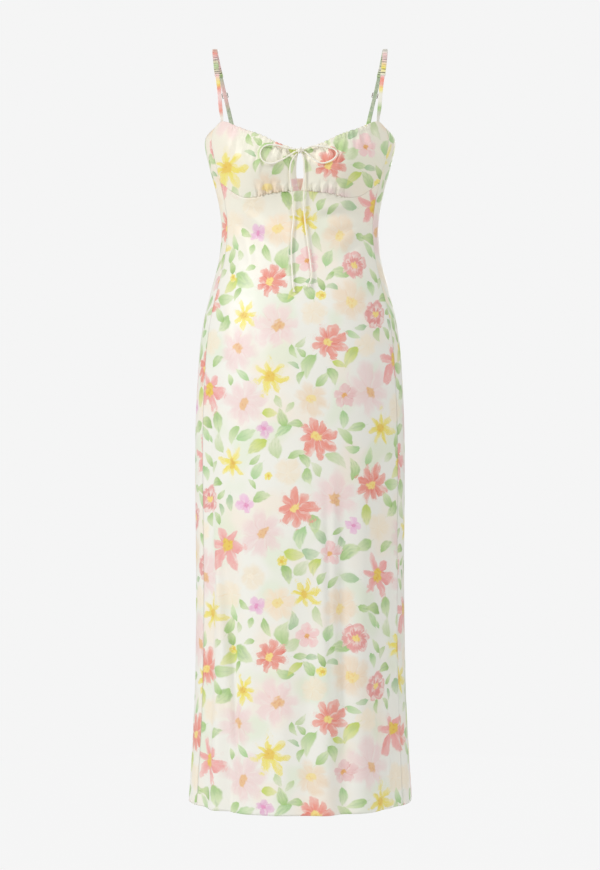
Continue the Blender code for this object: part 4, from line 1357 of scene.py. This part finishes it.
def smooth_path(points, step):
    """Evenly spaced points on a smooth curve through the given ones, with the end points kept."""
    points = np.array([tuple(point) for point in points])
    reach = np.concatenate(([0.0], np.cumsum(np.linalg.norm(np.diff(points, axis=0), axis=1))))
    at = reach[-1] * np.linspace(0.0, 1.0, 40 * (len(points) - 1) + 1)
    fine = np.stack([smooth_value(reach, points[:, axis], at) for axis in range(3)], axis=-1)
    length = np.concatenate(([0.0], np.cumsum(np.linalg.norm(np.diff(fine, axis=0), axis=1))))
    even = length[-1] * np.linspace(0.0, 1.0, max(2, round(length[-1] / step)) + 1)
    path = np.stack([np.interp(even, length, fine[:, axis]) for axis in range(3)], axis=-1)
    return [Vector(point) for point in path]


def path_frame(path, i, level):
    """Across and outward directions of a strap whose width lies along a level direction."""
    tangent = (path[min(i + 1, len(path) - 1)] - path[max(i - 1, 0)]).normalized()
    across = (level - tangent * level.dot(tangent)).normalized()
    return across, across.cross(tangent)


LEVEL = Vector((1.0, 0.0, 0.0))


def along_wall(angle, height):
    """Level direction along the cloth, pointing to +X."""
    direction = (point_on(angle + 0.02, height) - point_on(angle - 0.02, height)).normalized()
    return direction if direction.x > 0 else -direction


def make_band(name, centres, acrosses, width, thick, tints, material, gathers=None):
    """A strap of folded cloth along its middle line, with rounded edges.
    gathers(v, u) swells it, in metres."""
    count = len(centres) - 1
    middle = np.array([tuple(point) for point in centres])
    side = np.array([tuple(point) for point in acrosses])
    ahead = np.concatenate((middle[1:], middle[-1:])) - np.concatenate((middle[:1], middle[:-1]))
    ahead /= np.linalg.norm(ahead, axis=1, keepdims=True)
    out = np.cross(side, ahead)
    out /= np.linalg.norm(out, axis=1, keepdims=True)

    def place(u, v):
        i = np.rint(v * count).astype(int)
        turn = TURN * u
        flat = np.sign(np.cos(turn)) * np.abs(np.cos(turn)) ** 0.55
        round_edge = np.sign(np.sin(turn)) * np.abs(np.sin(turn)) ** 0.8
        swell = gathers(v, u) if gathers else np.zeros_like(u)
        reach_out = (0.5 * thick + swell) * round_edge
        reach_side = (0.5 * width + 0.4 * swell) * flat
        return middle[i] + side[i] * reach_side[:, None] + out[i] * reach_out[:, None]

    mesh, _, v = lay_grid(24, count, place, closed=True)
    shares = [share for share, _ in tints]
    colours = np.array([srgb(colour) for _, colour in tints])
    tint = np.stack([np.interp(v, shares, colours[:, channel]) for channel in range(3)], axis=-1)
    # Painted shade: the ruched strap's colour darkens in the valleys between its gathers
    if gathers:
        tint *= 1.0 - 0.85 * ease(-gathers(v, np.zeros_like(v)) / (0.45 * MM))[:, None]
    write_attribute(mesh, "strap_tint", "POINT", tint)
    strap = link(name, mesh)
    mesh.materials.append(material)
    return strap


def mirrored(points, side):
    """A +X table of points as vectors, on the asked side."""
    return [Vector((side * x, y, z)) for x, y, z in points]


def make_front_strap(side_name, side, material):
    """Plain strap, sewn inside the cup's top corner and running up to the ruched part."""
    top = float(edge_height(NECKLINE, FRONT_STRAP_ANGLE))
    depth = -(WALL + SEAM_GAP + 0.5 * STRAP_THICK)
    turned = side * FRONT_STRAP_ANGLE
    drops = (STRAP_INSET, 0.5 * STRAP_INSET, -2.0 * MM)
    sewn = [point_on(turned, top - drop, depth) for drop in drops]
    path = smooth_path([*sewn, *mirrored(FRONT_STRAP, side)], 2.5 * MM)
    sewn_level = along_wall(turned, top)
    acrosses = []
    for i, point in enumerate(path):
        level = sewn_level.lerp(LEVEL, float(ease((point.z - top) / 0.030)))
        acrosses.append(path_frame(path, i, level)[0])
    strap = make_band(
        "strap_cloth_front_" + side_name, path, acrosses, STRAP_WIDTH, STRAP_THICK,
        strap_tints("front_" + side_name, STRAP_COLOURS), material
    )
    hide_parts("strap_front_" + side_name)


def make_ruched_strap(side_name, side, material):
    """Gathered casing over the shoulder, with its elastic inside."""
    path = smooth_path(mirrored(SHOULDER, side), 0.6 * MM)
    acrosses = [path_frame(path, i, LEVEL)[0] for i in range(len(path))]

    def gathers(v, u):
        uneven = 0.35 * np.sin(17.0 * v + side) + 0.2 * np.sin(41.0 * v)
        wave = np.sin(TURN * (RUCHES * v + uneven) + 0.5 * np.sin(TURN * u))
        ends = ease(v / 0.03) * ease((1.0 - v) / 0.03)
        return ends * MM * (0.55 * wave * (0.75 + 0.25 * np.sin(29.0 * v + TURN * u)) + 0.1)

    strap = make_band(
        "strap_cloth_ruched_" + side_name, path, acrosses, RUCHED_WIDTH, RUCHED_THICK,
        strap_tints("ruched_" + side_name, STRAP_COLOURS), material, gathers
    )
    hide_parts("strap_ruched_" + side_name)


def back_edge_angle(point):
    """Angle of the back's wall beside a point near its top edge."""
    angle = math.pi - math.asin(abs(point.x) / float(section(np.float64(point.z), 1)))
    return angle if point.x > 0 else TURN - angle


def back_strap_base(side):
    """The back strap's own line with its frames, one point a millimetre."""
    path = smooth_path(mirrored(BACK_STRAP, side), 1.0 * MM)
    sewn_level = along_wall(back_edge_angle(path[-1]), path[-1].z)
    frames = []
    for i in range(len(path)):
        level = LEVEL.lerp(sewn_level, float(ease(1.3 * i / len(path))))
        frames.append(path_frame(path, i, level))
    return path, frames


def on_base(base, along, lift):
    """A point a distance along the back strap and a lift out of it."""
    path, frames = base
    i = min(len(path) - 2, max(0, int(along / MM)))
    share = min(1.0, max(-4.0, along / MM - i))
    point = path[i].lerp(path[i + 1], share)
    out = frames[i][1].lerp(frames[i + 1][1], min(1.0, max(0.0, share))).normalized()
    return point + out * lift


def across_base(base, along):
    """Direction across the back strap at a distance along it."""
    path, frames = base
    return frames[min(len(path) - 1, max(0, round(along / MM)))][0]


def half_turn(along, lift, radius, start, end):
    """Places on an arc in the plane of the strap's length and lift."""
    turns = [start + (end - start) * i / ARC_STEPS for i in range(ARC_STEPS + 1)]
    return [(along + radius * math.cos(turn), lift + radius * math.sin(turn)) for turn in turns]


def make_back_strap(side_name, base, material):
    """Strap from the ruched part down to the ring, round it and back up to the slider's middle bar."""
    places = [(0.4 * MM + STRAP_STEP * i, 0.0) for i in range(int(RING_DROP / STRAP_STEP) + 1)]
    places += half_turn(RING_DROP, LOOP_RADIUS, LOOP_RADIUS, -0.5 * math.pi, 0.5 * math.pi)
    steps = int((RING_DROP - SLIDER_DROP - 10.0 * MM) / STRAP_STEP)
    places += [(RING_DROP - STRAP_STEP * i, 2.0 * LOOP_RADIUS) for i in range(1, steps + 1)]
    places += [(SLIDER_DROP + 5.2 * MM, SLIDER_LIFT + WRAP_RADIUS)]
    places += [(SLIDER_DROP + 2.0 * MM, SLIDER_LIFT + WRAP_RADIUS)]
    places += half_turn(SLIDER_DROP, SLIDER_LIFT, WRAP_RADIUS, 0.5 * math.pi, 1.5 * math.pi)
    places += [(SLIDER_DROP + 2.2 * MM, SLIDER_LIFT - WRAP_RADIUS)]
    centres = [on_base(base, along, lift) for along, lift in places]
    acrosses = [across_base(base, along) for along, _ in places]
    # Painted shade: the back strap's colours are greyed, as it hangs in shadow behind the cup
    down = strap_tints("back_" + side_name, BACK_STRAP_COLOURS_AND_SHADE)
    tints = [(0.5 * share, colour) for share, colour in down]
    tints += [(1.0 - 0.5 * share, colour) for share, colour in reversed(down[:-1])]
    strap = make_band(
        "strap_cloth_back_" + side_name, centres, acrosses, STRAP_WIDTH, STRAP_THICK, tints, material
    )
    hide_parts("strap_back_" + side_name)


def make_ring_tab(side_name, base, material):
    """Short loop of strap through the ring, its long leg sewn inside the back's top edge."""
    turn_at = RING_DROP + RING_LENGTH
    turned = back_edge_angle(on_base(base, turn_at, LOOP_RADIUS))
    top = float(edge_height(BACK_EDGE, math.pi - abs(math.pi - turned)))
    depth = -(WALL + SEAM_GAP + 0.5 * STRAP_THICK)
    arc = half_turn(turn_at, LOOP_RADIUS, LOOP_RADIUS, 0.5 * math.pi, 1.5 * math.pi)
    centres = [point_on(turned, top + 1.2 * MM)]
    centres += [on_base(base, along, lift) for along, lift in arc]
    centres += [point_on(turned, top - drop, depth) for drop in (-1.0 * MM, 4.0 * MM, STRAP_INSET)]
    acrosses = [across_base(base, turn_at)] * len(centres)
    # Painted shade in the tab's greyed colours, as for the back strap
    tab = make_band(
        "ring_tab_cloth_" + side_name, centres, acrosses, STRAP_WIDTH, STRAP_THICK,
        strap_tints("back_" + side_name, BACK_STRAP_COLOURS_AND_SHADE), material
    )
    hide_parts("ring_tab_" + side_name)


def clear_of_knot(path, i):
    """Whether a cord ending at a point of the path keeps clear of the knot."""
    tangent = (path[min(i + 1, len(path) - 1)] - path[max(i - 1, 0)]).normalized()
    first = tangent.orthogonal().normalized()
    second = tangent.cross(first)
    centre = front_point(0.0, KNOT_HEIGHT, KNOT_LIFT)
    half = [size + SEAM_GAP for size in KNOT_HALF]
    for k in range(12):
        turn = TURN * k / 12
        rim = path[i] + (first * math.cos(turn) + second * math.sin(turn)) * 0.5 * CORD_DIAMETER - centre
        if sum((rim[axis] / half[axis]) ** 2 for axis in range(3)) < 1.0:
            return False
    return True


def cord_tube(path, radius, uneven):
    """A round cord along a path, slightly uneven as turned-through cloth is."""
    count = len(path) - 1
    middle = np.array([tuple(point) for point in path])
    tangents = [(path[min(i + 1, count)] - path[max(i - 1, 0)]).normalized() for i in range(count + 1)]
    sides = [tangents[0].orthogonal().normalized()]
    for i in range(1, count + 1):
        turned = sides[-1] - tangents[i] * sides[-1].dot(tangents[i])
        sides.append(turned.normalized())
    side = np.array([tuple(one) for one in sides])
    up = np.array([tuple(tangent.cross(one)) for tangent, one in zip(tangents, sides)])

    def place(u, v):
        i = np.rint(v * count).astype(int)
        turn = TURN * u
        size = radius * (1.0 + uneven * (0.6 * np.sin(1.9 * i + 2.0 * turn) + 0.4 * np.sin(0.8 * i)))
        size = np.where((i == 0) | (i == count), 0.55 * size, size)
        return middle[i] + side[i] * (size * np.cos(turn))[:, None] + up[i] * (size * np.sin(turn))[:, None]

    return lay_grid(14, count, place, closed=True)[0]


def make_tie(material):
    """Bow: two loops and two tails of rouleau cord, the knot between them and a knot at each tail's end."""
    knot = make_knot("knot_cord", front_point(0.0, KNOT_HEIGHT, KNOT_LIFT), material)
    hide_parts("tie_knot")
    for name, route in TIE_ROUTES.items():
        fine = smooth_path([front_point(*row) for row in route], 0.25 * MM)
        clear = [i for i in range(len(fine)) if clear_of_knot(fine, i)]
        path = smooth_path(fine[clear[0] : clear[-1] + 1], CORD_STEP)
        tube = cord_tube(path, 0.5 * CORD_DIAMETER, CORD_UNEVEN)
        cord = link(name.replace("tie_", "bow_"), tube)
        cord.data.materials.append(material)
        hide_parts(name)
        if "tail" in name:
            onward = (path[-1] - path[-2]).normalized()
            centre = path[-1] + onward * (TIP_RADIUS + 0.1 * MM)
            tip = make_tip(name.replace("tie_tail", "bow_tip"), centre, onward)
            tip.data.materials.append(material)
            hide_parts(name.replace("tail", "tip"))


def make_knot(name, centre, material):
    """The bow's knot: one turn of cord wrapped over the crossing cords."""
    shape = bmesh.new()
    shape.loops.layers.uv.new("UVMap")
    wrap = []
    for k in range(29):
        turn = TURN * k / 28
        squeeze = 1.0 + 0.10 * math.sin(2.0 * turn)
        wrap.append(centre + Vector((
            1.4 * MM * math.sin(turn) + 0.5 * MM * math.sin(2.0 * turn),
            -3.05 * MM * squeeze * math.cos(turn),
            3.6 * MM * math.sin(turn + 0.25),
        )))
    paths = [(smooth_path(wrap, 1.0 * MM), KNOT_WRAP_RADIUS)]
    for line in KNOT_CROSSINGS:
        places = [centre + Vector(place) * MM for place in line]
        paths.append((smooth_path(places, 1.0 * MM), KNOT_CORD_RADIUS))
    for path, radius in paths:
        part = cord_tube(path, radius, KNOT_UNEVEN)
        shape.from_mesh(part)
        bpy.data.meshes.remove(part)
    for face in shape.faces:
        face.smooth = True
    mesh = bpy.data.meshes.new(name)
    shape.to_mesh(mesh)
    shape.free()
    mesh.materials.append(material)
    return link(name, mesh)


def make_tip(name, centre, onward):
    """A small overhand knot at a tail's end."""
    first = onward.orthogonal().normalized()
    second = onward.cross(first)
    points = []
    for k in range(25):
        turn = TURN * k / 24
        across = TIP_HALF_WIDTH * math.cos(turn)
        aside = TIP_HALF_WIDTH * math.sin(turn)
        along = TIP_HALF_LENGTH * math.sin(2.0 * turn)
        points.append(centre + first * across + second * aside + onward * along)
    mesh = cord_tube(smooth_path(points, 0.7 * MM), TIP_CORD_RADIUS, KNOT_UNEVEN)
    return link(name, mesh)


def make_zip(material):
    """Concealed zip: its closed tape lies flat behind the wearer's left side seam."""

    def place(u, v):
        height = ZIP_BOTTOM + (ZIP_TOP - ZIP_BOTTOM) * v
        angle = SIDE_SEAM + (2.0 * u - 1.0) * ZIP_HALF_WIDTH / section(height, 1)
        coil = COIL_RISE * np.exp(-(((u - 0.5) / 0.09) ** 4))
        return surface(angle, height) - outward(angle, height) * (WALL + ZIP_DEPTH + coil)[:, None]

    mesh, _, _ = lay_grid(40, 90, place)
    shape = bmesh.new()
    shape.from_mesh(mesh)
    bmesh.ops.reverse_faces(shape, faces=shape.faces[:])
    shape.to_mesh(mesh)
    shape.free()
    mesh.shade_smooth()
    tape = link("zip_tape_cloth", mesh)
    mesh.materials.append(material)
    wall = tape.modifiers.new("tape", "SOLIDIFY")
    wall.thickness = ZIP_THICK
    wall.offset = -1.0
    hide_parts("side_zip")


def finish_metal(material):
    """The sliders and rings keep their solids and take the polished metal."""
    for name in ("slider_left", "slider_right", "ring_left", "ring_right"):
        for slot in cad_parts[name].material_slots:
            slot.material = material


make_camera()
make_tie(make_plain_satin())
make_cloth()
strap_satin = make_strap_satin()
for strap_side, strap_sign in (("left", -1.0), ("right", 1.0)):
    make_front_strap(strap_side, strap_sign, strap_satin)
    make_ruched_strap(strap_side, strap_sign, strap_satin)
    strap_base = back_strap_base(strap_sign)
    make_back_strap(strap_side, strap_base, strap_satin)
    make_ring_tab(strap_side, strap_base, strap_satin)
make_zip(make_zip_finish())
finish_metal(make_strap_metal())
make_floor()
make_lights()
